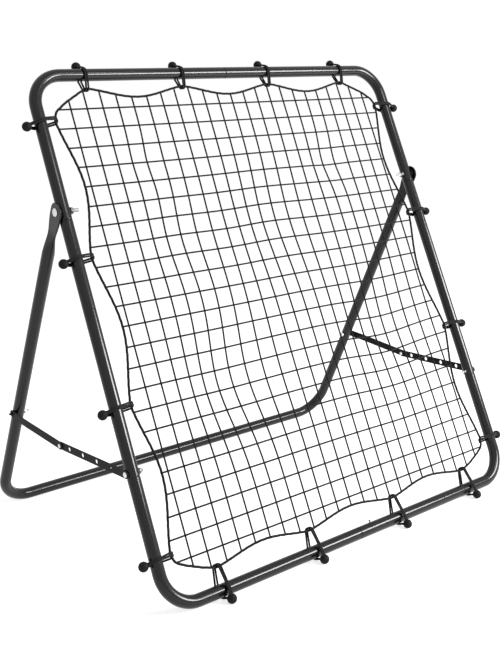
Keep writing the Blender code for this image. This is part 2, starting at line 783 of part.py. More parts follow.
def strap_mesh(name, side, length, flat, start_x, end_x):
    # A flat bar along +Y from its own pivot at y = 0, joggled sideways towards the middle joint.
    half = STRAP_WIDTH / 2
    stations = []
    for k in range(1, STRAP_END_STEPS + 1):
        angle = pi / 2 * k / STRAP_END_STEPS
        stations.append((-half * cos(angle), half * sin(angle)))
    stations += [(flat, half), (length - KNUCKLE_FLAT, half)]
    for k in range(STRAP_END_STEPS, 0, -1):
        angle = pi / 2 * k / STRAP_END_STEPS
        stations.append((length + half * cos(angle), half * sin(angle)))
    rings = []
    for y, wide in stations:
        share = min(1.0, max(0.0, (y - flat) / (length - KNUCKLE_FLAT - flat)))
        near = (start_x + (end_x - start_x) * share) * side
        far = near + STRAP_THICKNESS * side
        corners = ((near, -wide), (near, wide), (far, wide), (far, -wide))
        rings.append([Vector((x, y, z)) for x, z in corners])
    bm = bmesh.new()
    skin(bm, rings)
    return finish_mesh(name, bm)


def strap_holes(side, places):
    x = SPLIT_X * side
    return [(Vector((x, y, 0)), X_AXIS, radius, THROUGH_TUBE) for y, radius in places]


def add_braces(plane, leg_axis, paint, steel, dark):
    front, knuckle, rear = brace_places()
    hole = BRACE_BOLT_RADIUS + CLEARANCE
    front_way = knuckle - front
    rear_way = knuckle - rear
    front_tilt = atan2(front_way.y, front_way.x) + FRAME_LEAN
    rear_tilt = atan2(rear_way.y, rear_way.x) - LEG_LEAN
    for word, side in SIDES.items():
        front_axis = add_empty("front_brace_axis_" + word, plane, (0, 0, FRONT_BOLT_UP), front_tilt)
        rear_axis = add_empty("rear_brace_axis_" + word, leg_axis, (0, 0, -REAR_BOLT_DOWN), rear_tilt)

        length = front_way.length
        mesh = strap_mesh(
            "front_brace_" + word, side, length, FRONT_STRAP_FLAT, FRONT_STRAP_X, KNUCKLE_FRONT_X
        )
        places = [(HOLE_PITCH * k, hole) for k in range(SPARE_HOLES + 1)] + [(length, hole)]
        drill(add_piece(mesh.name, mesh, paint, front_axis), strap_holes(side, places))
        nut_x = KNUCKLE_FRONT_X - CLEARANCE
        inner = turned_mesh(
            "knuckle_nut_" + word,
            (
                ((nut_x - BRACE_NUT_HEIGHT) * side, KNUCKLE_HEAD_RADIUS * HEAD_TOP_SHARE),
                ((nut_x - BRACE_NUT_HEIGHT / 2) * side, KNUCKLE_HEAD_RADIUS),
                (nut_x * side, KNUCKLE_HEAD_RADIUS),
                (nut_x * side, BRACE_BOLT_RADIUS),
                (SPLIT_X * side, BRACE_BOLT_RADIUS),
            ),
            hexagons=(0, 1, 2),
        )
        add_piece(inner.name, inner, steel, front_axis, (0, length, 0))

        length = rear_way.length
        mesh = strap_mesh(
            "rear_brace_" + word, side, length, REAR_STRAP_FLAT, REAR_STRAP_X, KNUCKLE_REAR_X
        )
        places = [(0, REAR_PIN_RADIUS + CLEARANCE), (length, hole)]
        drill(add_piece(mesh.name, mesh, paint, rear_axis), strap_holes(side, places))
        head_x = KNUCKLE_REAR_X + STRAP_THICKNESS + CLEARANCE
        outer = turned_mesh(
            "knuckle_bolt_" + word,
            (
                (KNUCKLE_REAR_X * side, BRACE_BOLT_RADIUS),
                (head_x * side, BRACE_BOLT_RADIUS),
                (head_x * side, KNUCKLE_HEAD_RADIUS),
                ((head_x + BRACE_HEAD_HEIGHT / 2) * side, KNUCKLE_HEAD_RADIUS),
                ((head_x + BRACE_HEAD_HEIGHT) * side, KNUCKLE_HEAD_RADIUS * HEAD_TOP_SHARE),
            ),
        )
        add_piece(outer.name, outer, steel, rear_axis, (0, length, 0))

        spot = frame_point(0, FRONT_BOLT_UP)
        head_x = FRONT_STRAP_X + STRAP_THICKNESS + CLEARANCE
        tail = NUT_X - BRACE_NUT_HEIGHT - BRACE_BOLT_TAIL
        bolt = turned_mesh(
            "front_brace_bolt_" + word,
            (
                (tail * side, BRACE_BOLT_RADIUS),
                (head_x * side, BRACE_BOLT_RADIUS),
                (head_x * side, BRACE_HEAD_RADIUS),
                ((head_x + BRACE_HEAD_HEIGHT / 2) * side, BRACE_HEAD_RADIUS),
                ((head_x + BRACE_HEAD_HEIGHT) * side, BRACE_HEAD_RADIUS * HEAD_TOP_SHARE),
            ),
        )
        add_piece(bolt.name, bolt, steel, plane, spot)
        nut = nut_mesh(
            "front_brace_nut_" + word, NUT_X, side, BRACE_NUT_RADIUS, hole, BRACE_NUT_HEIGHT
        )
        add_piece(nut.name, nut, steel, plane, spot)

        spot = (0, 0, -REAR_BOLT_DOWN)
        flange_x = REAR_STRAP_X + STRAP_THICKNESS + CLEARANCE
        nut_x = LEG_X - TUBE_RADIUS - CLEARANCE
        pin = turned_mesh(
            "rear_brace_pin_" + word,
            (
                ((nut_x - BRACE_NUT_HEIGHT - REAR_PIN_TAIL) * side, REAR_PIN_RADIUS),
                (flange_x * side, REAR_PIN_RADIUS),
                (flange_x * side, REAR_PIN_FLANGE_RADIUS),
                ((flange_x + REAR_PIN_FLANGE_HEIGHT) * side, REAR_PIN_FLANGE_RADIUS),
                ((flange_x + REAR_PIN_FLANGE_HEIGHT) * side, REAR_PIN_RADIUS),
                ((flange_x + REAR_PIN_FLANGE_HEIGHT + REAR_PIN_STUB) * side, REAR_PIN_RADIUS),
            ),
        )
        add_piece(pin.name, pin, dark, leg_axis, spot)
        bore = REAR_PIN_RADIUS + CLEARANCE
        nut = nut_mesh(
            "rear_brace_nut_" + word, nut_x, side, BRACE_NUT_RADIUS, bore, BRACE_NUT_HEIGHT
        )
        add_piece(nut.name, nut, steel, leg_axis, spot)


def main():
    clear_scene()
    paint = make_material("black_painted_steel", (0.045, 0.045, 0.045), 0.35, 0.2)
    steel = make_material("zinc_plated_steel", (0.75, 0.75, 0.74), 0.3, 1.0)
    dark = make_material("dark_steel", (0.06, 0.06, 0.06), 0.45, 0.6)
    twine = make_material("black_twine", (0.012, 0.012, 0.012), 0.9)
    elastic = make_material("black_elastic", (0.012, 0.012, 0.012), 0.6)
    plane = add_empty("frame_plane", None, (0, FRAME_Y, FRAME_Z), -FRAME_LEAN)
    leg_axis = add_empty("leg_axis", plane, (0, 0, PIVOT_UP), LEG_LEAN + FRAME_LEAN)
    add_frame_tubes(plane, paint)
    add_seam_screws(plane, dark)
    add_net(plane, twine)
    add_ties(plane, elastic)
    add_leg(leg_axis, paint)
    add_pivots(plane, steel)
    add_braces(plane, leg_axis, paint, steel, dark)


main()
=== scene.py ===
import json
import random
from math import atan2, cos, exp, hypot, pi, radians, sin, tau

import bmesh
import bpy
from mathutils import Matrix, Vector
from mathutils.geometry import convex_hull_2d


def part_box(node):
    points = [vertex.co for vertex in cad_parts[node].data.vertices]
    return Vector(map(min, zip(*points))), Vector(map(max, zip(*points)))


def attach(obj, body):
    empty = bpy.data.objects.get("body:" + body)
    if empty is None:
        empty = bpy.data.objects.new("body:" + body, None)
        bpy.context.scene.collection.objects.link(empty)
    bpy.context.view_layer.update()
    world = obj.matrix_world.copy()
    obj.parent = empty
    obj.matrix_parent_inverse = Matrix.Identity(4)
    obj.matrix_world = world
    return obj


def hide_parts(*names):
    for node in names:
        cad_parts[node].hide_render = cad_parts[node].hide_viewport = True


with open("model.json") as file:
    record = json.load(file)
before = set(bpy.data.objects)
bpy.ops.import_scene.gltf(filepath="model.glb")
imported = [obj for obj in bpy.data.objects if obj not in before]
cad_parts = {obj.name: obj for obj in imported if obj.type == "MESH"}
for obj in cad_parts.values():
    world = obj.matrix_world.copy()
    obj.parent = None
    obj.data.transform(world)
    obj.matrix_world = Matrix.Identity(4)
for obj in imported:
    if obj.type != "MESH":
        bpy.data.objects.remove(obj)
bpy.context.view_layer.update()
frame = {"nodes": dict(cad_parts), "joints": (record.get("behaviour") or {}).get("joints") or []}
print("frame loaded:", len(frame["nodes"]), "nodes")

sides = {"left": -1, "right": 1}
xAxis = Vector((1, 0, 0))
yAxis = Vector((0, 1, 0))
zAxis = Vector((0, 0, 1))

# Places read from the frame
jointSpots = {joint["name"]: Vector(joint["pos_m"]) for joint in frame["joints"]}
pivot = jointSpots["leg_fold"]
frontPin = jointSpots["front_brace_fold_left"]
rearPin = jointSpots["rear_brace_fold_left"]
frameLean = atan2(pivot.y - frontPin.y, pivot.z - frontPin.z)
legLean = atan2(rearPin.y - pivot.y, pivot.z - rearPin.z)
tubeLow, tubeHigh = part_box("side_tube_right")
tubeRadius = (tubeHigh.x - tubeLow.x) / 2
sideX = (tubeHigh.x + tubeLow.x) / 2
outerX = tubeHigh.x  # outer side of the frame
clearance = 0.0003

frameShape = {
    "height": 1.030,  # between the axes of the bottom and top tubes
    "bend": 0.066,
    "pivotUp": 0.7535,  # from the axis of the bottom tube
    "lowerSeam": 0.2435,
    "upperSeam": 0.7347,
    "wall": 0.0012,
    "spigot": 0.045,
    "lip": 0.0008,  # rounding of a tube's end
}

frameFoot = (
    0,
    pivot.y - sin(frameLean) * frameShape["pivotUp"],
    pivot.z - cos(frameLean) * frameShape["pivotUp"],
)
frameMatrix = Matrix.Translation(frameFoot) @ Matrix.Rotation(-frameLean, 4, "X")
legMatrix = Matrix.Translation((0, pivot.y, pivot.z)) @ Matrix.Rotation(legLean, 4, "X")
frontBoltUp = hypot(frontPin.y - frameMatrix.translation.y, frontPin.z - frameMatrix.translation.z)
rearPinDown = hypot(rearPin.y - pivot.y, rearPin.z - pivot.z)


def onFrame(x, up):
    return frameMatrix @ Matrix.Translation((x, 0, up))


# Mesh helpers

# Edges bent by more than this stay sharp
crease = {"metal": radians(40), "ball": radians(60), "cord": radians(80)}


def newMesh(name, bm, sharp=crease["metal"]):
    bmesh.ops.recalc_face_normals(bm, faces=bm.faces)
    mesh = bpy.data.meshes.new(name)
    bm.to_mesh(mesh)
    bm.free()
    mesh.shade_smooth()
    mesh.set_sharp_from_angle(angle=sharp)
    return mesh


def newObject(name, data):
    thing = bpy.data.objects.new(name, data)
    bpy.context.scene.collection.objects.link(thing)
    return thing


def place(name, mesh, materials, matrix, body, slot, *nodes):
    piece = newObject(name, mesh)
    mesh.materials.clear()
    for material in materials:
        mesh.materials.append(material)
    piece.matrix_world = matrix
    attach(piece, body)
    if nodes:
        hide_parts(*nodes)
    return piece


def spread(first, last, count):
    # Evenly spaced values, both ends included.
    return [first + (last - first) * k / count for k in range(count + 1)]


def scaled(profile, length, radius, start=0.0):
    # From shares of a length and a radius to metres.
    return [(start + length * along, radius * reach) for along, reach in profile]


def ring(centre, first, second, radius, count):
    return [
        centre + first * radius * cos(tau * k / count) + second * radius * sin(tau * k / count)
        for k in range(count)
    ]


def skin(bm, rings, closed=False, material=0):
    # Joins each ring to the next. Open ends are capped.
    loops = [[bm.verts.new(point) for point in points] for points in rings]
    following = loops[1:] + loops[:1] if closed else loops[1:]
    for near, far in zip(loops, following):
        for k in range(len(near)):
            face = bm.faces.new((near[k - 1], near[k], far[k], far[k - 1]))
            face.material_index = material
    if not closed:
        for loop in (loops[0], loops[-1][::-1]):
            face = bm.faces.new(loop)
            face.material_index = material


def ringMesh(name, rings, closed=False):
    bm = bmesh.new()
    skin(bm, rings, closed)
    return newMesh(name, bm)


def lathe(profile, count, spot, way):
    # Rings of a turned shape from (along, radius) pairs. way is its axis.
    across = (zAxis if abs(way.z) < 0.9 else yAxis).cross(way).normalized()
    up = way.cross(across)
    return [ring(spot + way * along, across, up, radius, count) for along, radius in profile]


holeSizes = {"pivot": 0.0043, "brace": 0.0033, "rearPin": 0.0026, "length": 0.047, "sides": 32}


def drilled(mesh, holes):
    # The mesh with round holes along X, each a centre and a radius.
    piece = newObject("blank", mesh)
    turn = xAxis.to_track_quat("Z", "Y").to_matrix().to_4x4()
    bm = bmesh.new()
    for centre, radius in holes:
        size = {"radius1": radius, "radius2": radius, "depth": holeSizes["length"]}
        spot = Matrix.Translation(centre) @ turn
        bmesh.ops.create_cone(bm, cap_ends=True, segments=holeSizes["sides"], matrix=spot, **size)
    drill = newObject("drill", newMesh("drill", bm))
    cut = piece.modifiers.new("holes", "BOOLEAN")
    cut.operation = "DIFFERENCE"
    cut.object = drill
    graph = bpy.context.evaluated_depsgraph_get()
    done = bpy.data.meshes.new_from_object(piece.evaluated_get(graph))
    bpy.data.objects.remove(piece)
    bpy.data.objects.remove(drill)
    done.name = mesh.name
    done.set_sharp_from_angle(angle=crease["metal"])
    return done


# Shader groups


def newGroup(name, inputs, outputs):
    # Inputs with their first value, or None for a vector. Each output is one value.
    group = bpy.data.node_groups.new(name, "ShaderNodeTree")
    for label, value in inputs.items():
        kind = "NodeSocketVector" if value is None else "NodeSocketFloat"
        socket = group.interface.new_socket(label, in_out="INPUT", socket_type=kind)
        if value is not None:
            socket.default_value = value
    for label in outputs:
        group.interface.new_socket(label, in_out="OUTPUT", socket_type="NodeSocketFloat")
    return group, group.nodes.new("NodeGroupInput"), group.nodes.new("NodeGroupOutput")


def addNode(tree, kind, values=None, **settings):
    node = tree.nodes.new(kind)
    for key, value in settings.items():
        setattr(node, key, value)
    for key, value in (values or {}).items():
        node.inputs[key].default_value = value
    return node


def addMath(tree, operation, first, second=None, clamp=False):
    node = addNode(tree, "ShaderNodeMath", operation=operation, use_clamp=clamp)
    for socket, value in zip(node.inputs, (first, second)):
        if isinstance(value, (int, float)):
            socket.default_value = value
        elif value is not None:
            tree.links.new(value, socket)
    return node.outputs[0]


def addNoise(group, start, scale, detail, roughness):
    node = addNode(group, "ShaderNodeTexNoise", {"Detail": detail, "Roughness": roughness})
    group.links.new(start.outputs["Vector"], node.inputs["Vector"])
    group.links.new(start.outputs[scale], node.inputs["Scale"])
    return node.outputs["Fac"]


def powderCoatGroup():
    # Mottle is a slow change of shade, Height the fine orange peel of sprayed powder.
    group, start, end = newGroup(
        "powderCoat", {"Vector": None, "Mottle Scale": 22.0, "Peel Scale": 620.0}, ("Mottle", "Height")
    )
    group.links.new(addNoise(group, start, "Mottle Scale", 3.0, 0.55), end.inputs["Mottle"])
    group.links.new(addNoise(group, start, "Peel Scale", 2.0, 0.5), end.inputs["Height"])
    return group


scuffEdge = {"from": 0.62, "steepness": 9.0}


def scuffGroup():
    # Thin rubbed marks and dust, where the noise is high.
    group, start, end = newGroup("scuff", {"Vector": None, "Scale": 60.0, "Amount": 0.5}, ("Mask",))
    edge = addMath(group, "SUBTRACT", addNoise(group, start, "Scale", 8.0, 0.7), scuffEdge["from"])
    edge = addMath(group, "MULTIPLY", edge, scuffEdge["steepness"], clamp=True)
    edge = addMath(group, "MULTIPLY", edge, start.outputs["Amount"], clamp=True)
    group.links.new(edge, end.inputs["Mask"])
    return group


def layGroup():
    # Strands laid round a cord, one way or both ways as a braid, and a groove mask for painted shade between
    # them. Map is metres along and turns around the cord.
    group, start, end = newGroup(
        "lay", {"Map": None, "Strands": 3.0, "Turns": 100.0, "Braid": 0.0}, ("Height", "Groove")
    )
    split = addNode(group, "ShaderNodeSeparateXYZ")
    group.links.new(start.outputs["Map"], split.inputs[0])
    along = addMath(group, "MULTIPLY", split.outputs["X"], start.outputs["Turns"])
    around = addMath(group, "MULTIPLY", split.outputs["Y"], start.outputs["Strands"])
    waves = []
    for operation in ("ADD", "SUBTRACT"):
        phase = addMath(group, operation, along, around)
        wave = addMath(group, "SINE", addMath(group, "MULTIPLY", phase, tau))
        waves.append(addMath(group, "ABSOLUTE", wave))
    mixed = addMath(group, "MULTIPLY", addMath(group, "MAXIMUM", *waves), start.outputs["Braid"])
    plain = addMath(group, "SUBTRACT", 1.0, start.outputs["Braid"])
    plain = addMath(group, "MULTIPLY", plain, waves[0])
    height = addMath(group, "ADD", mixed, plain)
    # The groove mask says where painted shade darkens the colour between strands.
    paintedShadeMask = addMath(group, "SUBTRACT", 1.0, height, clamp=True)
    group.links.new(height, end.inputs["Height"])
    group.links.new(paintedShadeMask, end.inputs["Groove"])
    return group


powderCoat = powderCoatGroup()
scuff = scuffGroup()
lay = layGroup()


# Materials: in a look, shader holds fixed shader values, and bump is a strength and a depth


def newMaterial(name, values):
    material = bpy.data.materials.new(name)
    material.use_nodes = True
    shader = material.node_tree.nodes["Principled BSDF"]
    for key, value in values.items():
        shader.inputs[key].default_value = value
    return material, material.node_tree, shader


def useGroup(tree, group, vector, values):
    node = addNode(tree, "ShaderNodeGroup", values, node_tree=group)
    tree.links.new(vector, node.inputs[0])
    return node


def mixColours(tree, factor, first, second):
    node = addNode(tree, "ShaderNodeMix", data_type="RGBA")
    for socket, value in zip(node.inputs[6:8], (first, second)):  # its two colours
        if isinstance(value, tuple):
            socket.default_value = (*value, 1)
        else:
            tree.links.new(value, socket)
    tree.links.new(factor, node.inputs[0])
    return node.outputs[2]


def mapRange(tree, value, low, high):
    node = addNode(tree, "ShaderNodeMapRange", {"To Min": low, "To Max": high})
    tree.links.new(value, node.inputs["Value"])
    return node.outputs["Result"]


def grey(level):
    return (level, level, level)


paintLook = {
    "shader": {"Specular IOR Level": 0.31},
    "coat": {"Mottle Scale": 22.0, "Peel Scale": 620.0},
    "dark": (0.0065, 0.0065, 0.0063),
    "light": (0.0110, 0.0110, 0.0107),
    "roughness": (0.14, 0.19),
    "bump": (0.5, 0.000003),
    "scuff": {"Scale": 75.0, "Amount": 0.16},
    "scuffed": (0.036, 0.035, 0.034),
    "scuffRoughness": 0.3,
}
strapLook = dict(
    paintLook,
    shader={"Specular IOR Level": 0.09},
    dark=grey(0.008),
    light=grey(0.014),
    roughness=(0.42, 0.55),
    bump=(0.5, 0.00002),
)
zincLook = {
    "shader": {"Metallic": 1.0},
    "coat": {"Mottle Scale": 260.0, "Peel Scale": 2200.0},
    "dark": (0.58, 0.58, 0.57),
    "light": (0.80, 0.80, 0.78),
    "roughness": (0.22, 0.38),
    "bump": (0.3, 0.00002),
}
# Zinc painted dark as painted shade: the nuts and washers are bright zinc like the bolts, darkened for the shade
# they sit in.
shadedZincLook = dict(zincLook, dark=(0.070, 0.070, 0.068), light=(0.150, 0.150, 0.146), roughness=(0.26, 0.42))
blackSteelLook = {
    "shader": {"Metallic": 0.5, "Specular IOR Level": 0.25},
    "coat": {"Mottle Scale": 300.0, "Peel Scale": 2400.0},
    "dark": grey(0.008),
    "light": grey(0.018),
    "roughness": (0.30, 0.44),
    "bump": (0.3, 0.00002),
}
ballLook = {
    "shader": {"Specular IOR Level": 0.25},
    "coat": {"Mottle Scale": 120.0, "Peel Scale": 1500.0},
    "dark": grey(0.0085),
    "light": (0.0145, 0.0145, 0.0150),
    "roughness": (0.36, 0.46),
    "bump": (0.4, 0.00003),
}

twineLook = {
    "shader": {"Sheen Weight": 0.06, "Sheen Roughness": 0.5, "Specular IOR Level": 0.18},
    "coat": {"Mottle Scale": 90.0, "Peel Scale": 2600.0},
    "dark": grey(0.0075),
    "light": grey(0.0140),
    "roughness": (0.72, 0.92),
    "bump": (0.8, 0.0003),
    "lay": {"Strands": 1.0, "Turns": 140.0, "Braid": 0.0},
    "paintedGrooveShade": 0.35,  # share of the dark colour painted between strands, as painted shade
    "fuzz": 0.35,  # height of single fibres against the strands
}
borderLook = dict(twineLook, bump=(0.8, 0.0002), lay={"Strands": 1.5, "Turns": 62.5, "Braid": 0.0})
elasticLook = dict(
    twineLook,
    shader={"Sheen Weight": 0.04, "Sheen Roughness": 0.5, "Specular IOR Level": 0.18},
    roughness=(0.55, 0.75),
    bump=(0.8, 0.0002),
    lay={"Strands": 4.0, "Turns": 420.0, "Braid": 1.0},
)


def makeMaterial(name, look):
    # Mottled shade and roughness with a fine peel. Scuffs, or the lay of a cord's strands with painted shade in
    # its grooves, come on top.
    material, tree, shader = newMaterial(name, look["shader"])
    spot = addNode(tree, "ShaderNodeTexCoord").outputs["Object"]
    mottle, height = useGroup(tree, powderCoat, spot, look["coat"]).outputs
    shade = mixColours(tree, mottle, look["dark"], look["light"])
    rough = mapRange(tree, height if "lay" in look else mottle, *look["roughness"])
    if "scuff" in look:
        marks = useGroup(tree, scuff, spot, look["scuff"]).outputs["Mask"]
        shade = mixColours(tree, marks, shade, look["scuffed"])
        rough = addMath(tree, "ADD", rough, addMath(tree, "MULTIPLY", marks, look["scuffRoughness"]), clamp=True)
    if "lay" in look:
        route = addNode(tree, "ShaderNodeUVMap", uv_map="cordMap").outputs["UV"]
        strands, paintedShadeMask = useGroup(tree, lay, route, look["lay"]).outputs
        # Painted shade: the grooves between strands are darkened in colour.
        shade = mixColours(tree, paintedShadeMask, shade, tuple(part * look["paintedGrooveShade"] for part in look["dark"]))
        height = addMath(tree, "ADD", strands, addMath(tree, "MULTIPLY", height, look["fuzz"]))
    strength, depth = look["bump"]
    bump = addNode(tree, "ShaderNodeBump", {"Strength": strength, "Distance": depth})
    tree.links.new(height, bump.inputs["Height"])
    tree.links.new(bump.outputs["Normal"], shader.inputs["Normal"])
    tree.links.new(shade, shader.inputs["Base Color"])
    tree.links.new(rough, shader.inputs["Roughness"])
    return material


blackPaint = makeMaterial("blackPowderCoat", paintLook)
strapPaint = makeMaterial("strapPowderCoat", strapLook)
brightZinc = makeMaterial("brightZinc", zincLook)
# A darker copy of the bright zinc, with painted shade for the nuts and washers.
shadedZinc = makeMaterial("shadedZinc", shadedZincLook)
blackSteel = makeMaterial("blackenedSteel", blackSteelLook)
netTwine = makeMaterial("netTwine", twineLook)
borderRope = makeMaterial("borderRope", borderLook)
elasticCord = makeMaterial("elasticCord", elasticLook)
ballPlastic = makeMaterial("ballPlastic", ballLook)
print("materials made")


# Frame tubes

tubeLook = {"sides": 40, "bendSteps": 20}
besideHole = 0.01  # a ring of points here keeps the hole's flat facets from shading the whole tube


def bendStations(corner, start, finish, radius):
    centre = corner - start * radius + finish * radius
    stations = []
    for angle in spread(0, pi / 2, tubeLook["bendSteps"]):
        spot = centre - finish * radius * cos(angle) + start * radius * sin(angle)
        stations.append((spot, start * cos(angle) + finish * sin(angle)))
    return stations


def tubeEnd(spot, way, kind):
    # Stations from inside the end out to the full tube. way leads into the tube.
    lip = frameShape["lip"]
    deep = frameShape["spigot"]
    inner = tubeRadius - frameShape["wall"]
    if kind == "spigot":
        inner -= clearance
        steps = [(-deep, inner - lip), (lip - deep, inner), (0, inner), (0, tubeRadius - lip)]
    else:
        steps = [(deep + clearance, inner), (lip, inner), (0, inner + lip / 2), (0, tubeRadius - lip / 2)]
    steps += [(lip, tubeRadius), (lip * 2, tubeRadius)]
    return [(spot + way * along, way, radius) for along, radius in steps]


def tubeMesh(name, path, kinds):
    stations = tubeEnd(*path[0], kinds[0])
    stations += [(spot, way, tubeRadius) for spot, way in path[1:-1]]
    spot, way = path[-1]
    stations += [(end, -back, radius) for end, back, radius in tubeEnd(spot, -way, kinds[1])[::-1]]
    count = tubeLook["sides"]
    return ringMesh(name, [ring(spot, yAxis, way.cross(yAxis), radius, count) for spot, way, radius in stations])


def cornerPath(side, level, rise, seam):
    start = xAxis * side
    finish = zAxis * rise
    corner = Vector((sideX * side, 0, level))
    path = [(Vector((side * clearance / 2, 0, level)), start)]
    path += bendStations(corner, start, finish, frameShape["bend"])
    path.append((Vector((sideX * side, 0, seam)), finish))
    return path


def makeFrameTubes():
    half = clearance / 2
    lower = frameShape["lowerSeam"]
    upper = frameShape["upperSeam"]
    pivotUp = frameShape["pivotUp"]
    for word, side in sides.items():
        x = sideX * side
        pivotHole = ((x, 0, pivotUp), holeSizes["pivot"])
        braceHole = ((x, 0, frontBoltUp), holeSizes["brace"])
        middle = "spigot" if side < 0 else "socket"
        bottomPath = cornerPath(side, 0, 1, lower - half)
        levels = (lower + half, frontBoltUp + besideHole, upper - half)
        sidePath = [(Vector((x, 0, level)), zAxis) for level in levels]
        topPath = cornerPath(side, frameShape["height"], -1, upper + half)
        topPath.insert(-1, (Vector((x, 0, pivotUp + besideHole)), -zAxis))
        for kind, path, ends, holes in (
            ("bottom", bottomPath, (middle, "spigot"), [braceHole]),
            ("side", sidePath, ("socket", "spigot"), [braceHole, pivotHole]),
            ("top", topPath, (middle, "socket"), [pivotHole]),
        ):
            mesh = drilled(tubeMesh(kind + "Tube", path, ends), holes)
            node = f"{kind}_tube_{word}"
            place(f"{kind}Tube_{word}", mesh, [blackPaint], frameMatrix, "root", "black_steel", node)


screwShape = {
    "fromSeam": 0.038,
    "shank": 0.0012,
    "inside": 0.004,
    "neck": 0.0030,
    "headRadius": 0.0028,
    "headHeight": 0.0013,
    "head": ((0, 0.96), (0.2, 1), (0.55, 0.93), (0.85, 0.68), (1, 0.34), (1, 0.30), (0.5, 0.22)),
}


def makeSeamScrews():
    neck = screwShape["neck"]
    profile = [(-screwShape["inside"], screwShape["shank"]), (neck, screwShape["shank"])]
    profile += scaled(screwShape["head"], screwShape["headHeight"], screwShape["headRadius"], neck)
    for word, level, way in (("bottom", 0, zAxis), ("top", frameShape["height"], yAxis)):
        spot = Vector((screwShape["fromSeam"], 0, level)) + way * tubeRadius
        mesh = ringMesh("seamScrew", lathe(profile, 24, spot, way))
        node = word + "_seam_screw"
        place("seamScrew_" + word, mesh, [blackSteel], frameMatrix, "root", "dark_steel", node)


makeFrameTubes()
makeSeamScrews()
print("frame tubes made")


# Net

netShape = {
    "lowLevel": 0.0418,  # border at the bottom bungees, above the bottom tube's axis
    "highLevel": 1.0015,
    "reach": 0.4370,  # border at the side bungees, from the middle
    "lowSag": 0.0165,
    "highSag": 0.0215,
    "sideSag": 0.0270,
    "tiesTop": (-0.3520, -0.1190, 0.1165, 0.3430),
    "tiesBottom": (-0.3490, -0.1200, 0.1180, 0.3460),
    "tiesUp": (0.091, 0.3705, 0.6585, 0.936),
    "lowCorner": [(0.376, 0.050), (0.411, 0.065), (0.430, 0.0755)],
    "highCorner": [(0.430, 0.9535), (0.405, 0.972)],
    "rounding": 0.016,  # smoothing of the border's line
    "columns": 23,
    "columnPitch": 0.0363,
    "columnMiddle": 0.0029,
    "rows": 23,
    "rowPitch": 0.0401,
    "firstRow": 0.0758,
    "strand": 0.00178,
    "border": 0.0026,
    "borderTurns": 244 / 3.9,  # a metre, of its three strands
    "borderGroove": 0.14,
    "knot": 0.0025,
    "knotSizes": (0.92, 1.1),
    "knotFlatness": (1.0, 0.85, 0.8),
    "knotTurns": (0.5, 1.1),
}
netSteps = {"line": 0.004, "strand": 0.009, "border": 0.0015}

# Slack that shows as soft waves in the meshes: middle, spread and shift (across, up), then the shift to the back
netWaves = (
    ((-0.259, 0.839), (0.039, 0.048), (-0.0076, -0.0009), -0.002),
    ((-0.220, 0.667), (0.071, 0.084), (-0.0130, 0.0010), -0.003),
    ((0.028, 0.680), (0.101, 0.118), (-0.0177, 0.0034), -0.004),
    ((0.236, 0.806), (0.048, 0.057), (-0.0143, -0.0024), -0.002),
    ((-0.189, 0.372), (0.101, 0.114), (-0.0275, -0.0017), -0.005),
    ((0.274, 0.424), (0.104, 0.113), (-0.0166, -0.0066), -0.003),
    ((0.219, 0.331), (0.110, 0.126), (-0.0002, -0.0072), 0.002),
)


def waved(u, v):
    spot = Vector((u, 0, v))
    for (middleU, middleV), (wide, tall), (across, up), back in netWaves:
        share = exp(-(((u - middleU) / wide) ** 2) - ((v - middleV) / tall) ** 2)
        spot += Vector((across, back, up)) * share
    return spot


def sagBetween(at, ties, sag):
    # Nearly straight from a tie, and rounder towards the lowest point between two ties.
    for near, far in zip(ties, ties[1:]):
        share = 1 - abs(at - (near + far) / 2) / ((far - near) / 2)
        if share > 0:
            return sag * (0.3 * (1 - cos(pi * share)) + 0.4 * (1 - (1 - share) ** 2))
    return 0.0


def evenly(points, step, closed=True):
    line = points + points[:1] if closed else points
    lengths = [0.0]
    for near, far in zip(line, line[1:]):
        lengths.append(lengths[-1] + (far - near).length)
    count = max(2, round(lengths[-1] / step))
    made = []
    at = 0
    for k in range(count if closed else count + 1):
        goal = lengths[-1] * k / count
        while at < len(lengths) - 2 and lengths[at + 1] < goal:
            at += 1
        span = lengths[at + 1] - lengths[at]
        made.append(line[at].lerp(line[at + 1], (goal - lengths[at]) / span if span > 0 else 0.0))
    return made


def smoothed(points, passes):
    # A closed line, each point moved towards its two neighbours.
    for _ in range(passes):
        following = points[1:] + points[:1]
        points = [(points[k - 1] + points[k] * 2 + after) / 4 for k, after in enumerate(following)]
    return points


def borderLine(step):
    # The closed line of the border cord, anticlockwise from the bottom left bungee, evenly spaced.
    below = netShape["tiesBottom"]
    above = netShape["tiesTop"]
    up = netShape["tiesUp"]
    count = 60
    low = netShape["lowLevel"]
    high = netShape["highLevel"]
    reach = netShape["reach"]
    bottom = [(u, low + sagBetween(u, below, netShape["lowSag"])) for u in spread(below[0], below[-1], count)]
    top = [(u, high - sagBetween(u, above, netShape["highSag"])) for u in spread(above[0], above[-1], count)]
    side = [(reach - sagBetween(v, up, netShape["sideSag"]), v) for v in spread(up[0], up[-1], count)]
    right = netShape["lowCorner"] + side + netShape["highCorner"]
    rough = bottom + right + top[::-1] + [(-u, v) for u, v in right[::-1]]
    points = evenly([Vector((u, 0, v)) for u, v in rough], step)
    return smoothed(points, round(netShape["rounding"] / step))


def insideBorder(point, border):
    inside = False
    for near, far in zip(border, border[1:] + border[:1]):
        if (near.z > point.z) != (far.z > point.z):
            if point.x < near.x + (point.z - near.z) / (far.z - near.z) * (far.x - near.x):
                inside = not inside
    return inside


def clipped(line, border):
    # The stretch of the line inside the border, with its ends on the border.
    inner = [k for k, point in enumerate(line) if insideBorder(point, border)]
    first, last = inner[0], inner[-1]
    ends = []
    for inside, outside in ((first, first - 1), (last, last + 1)):
        a, b = line[inside], line[outside]
        for _ in range(12):
            middle = (a + b) / 2
            a, b = (middle, b) if insideBorder(middle, border) else (a, middle)
        ends.append(a)
    return [ends[0]] + line[first : last + 1] + [ends[1]]


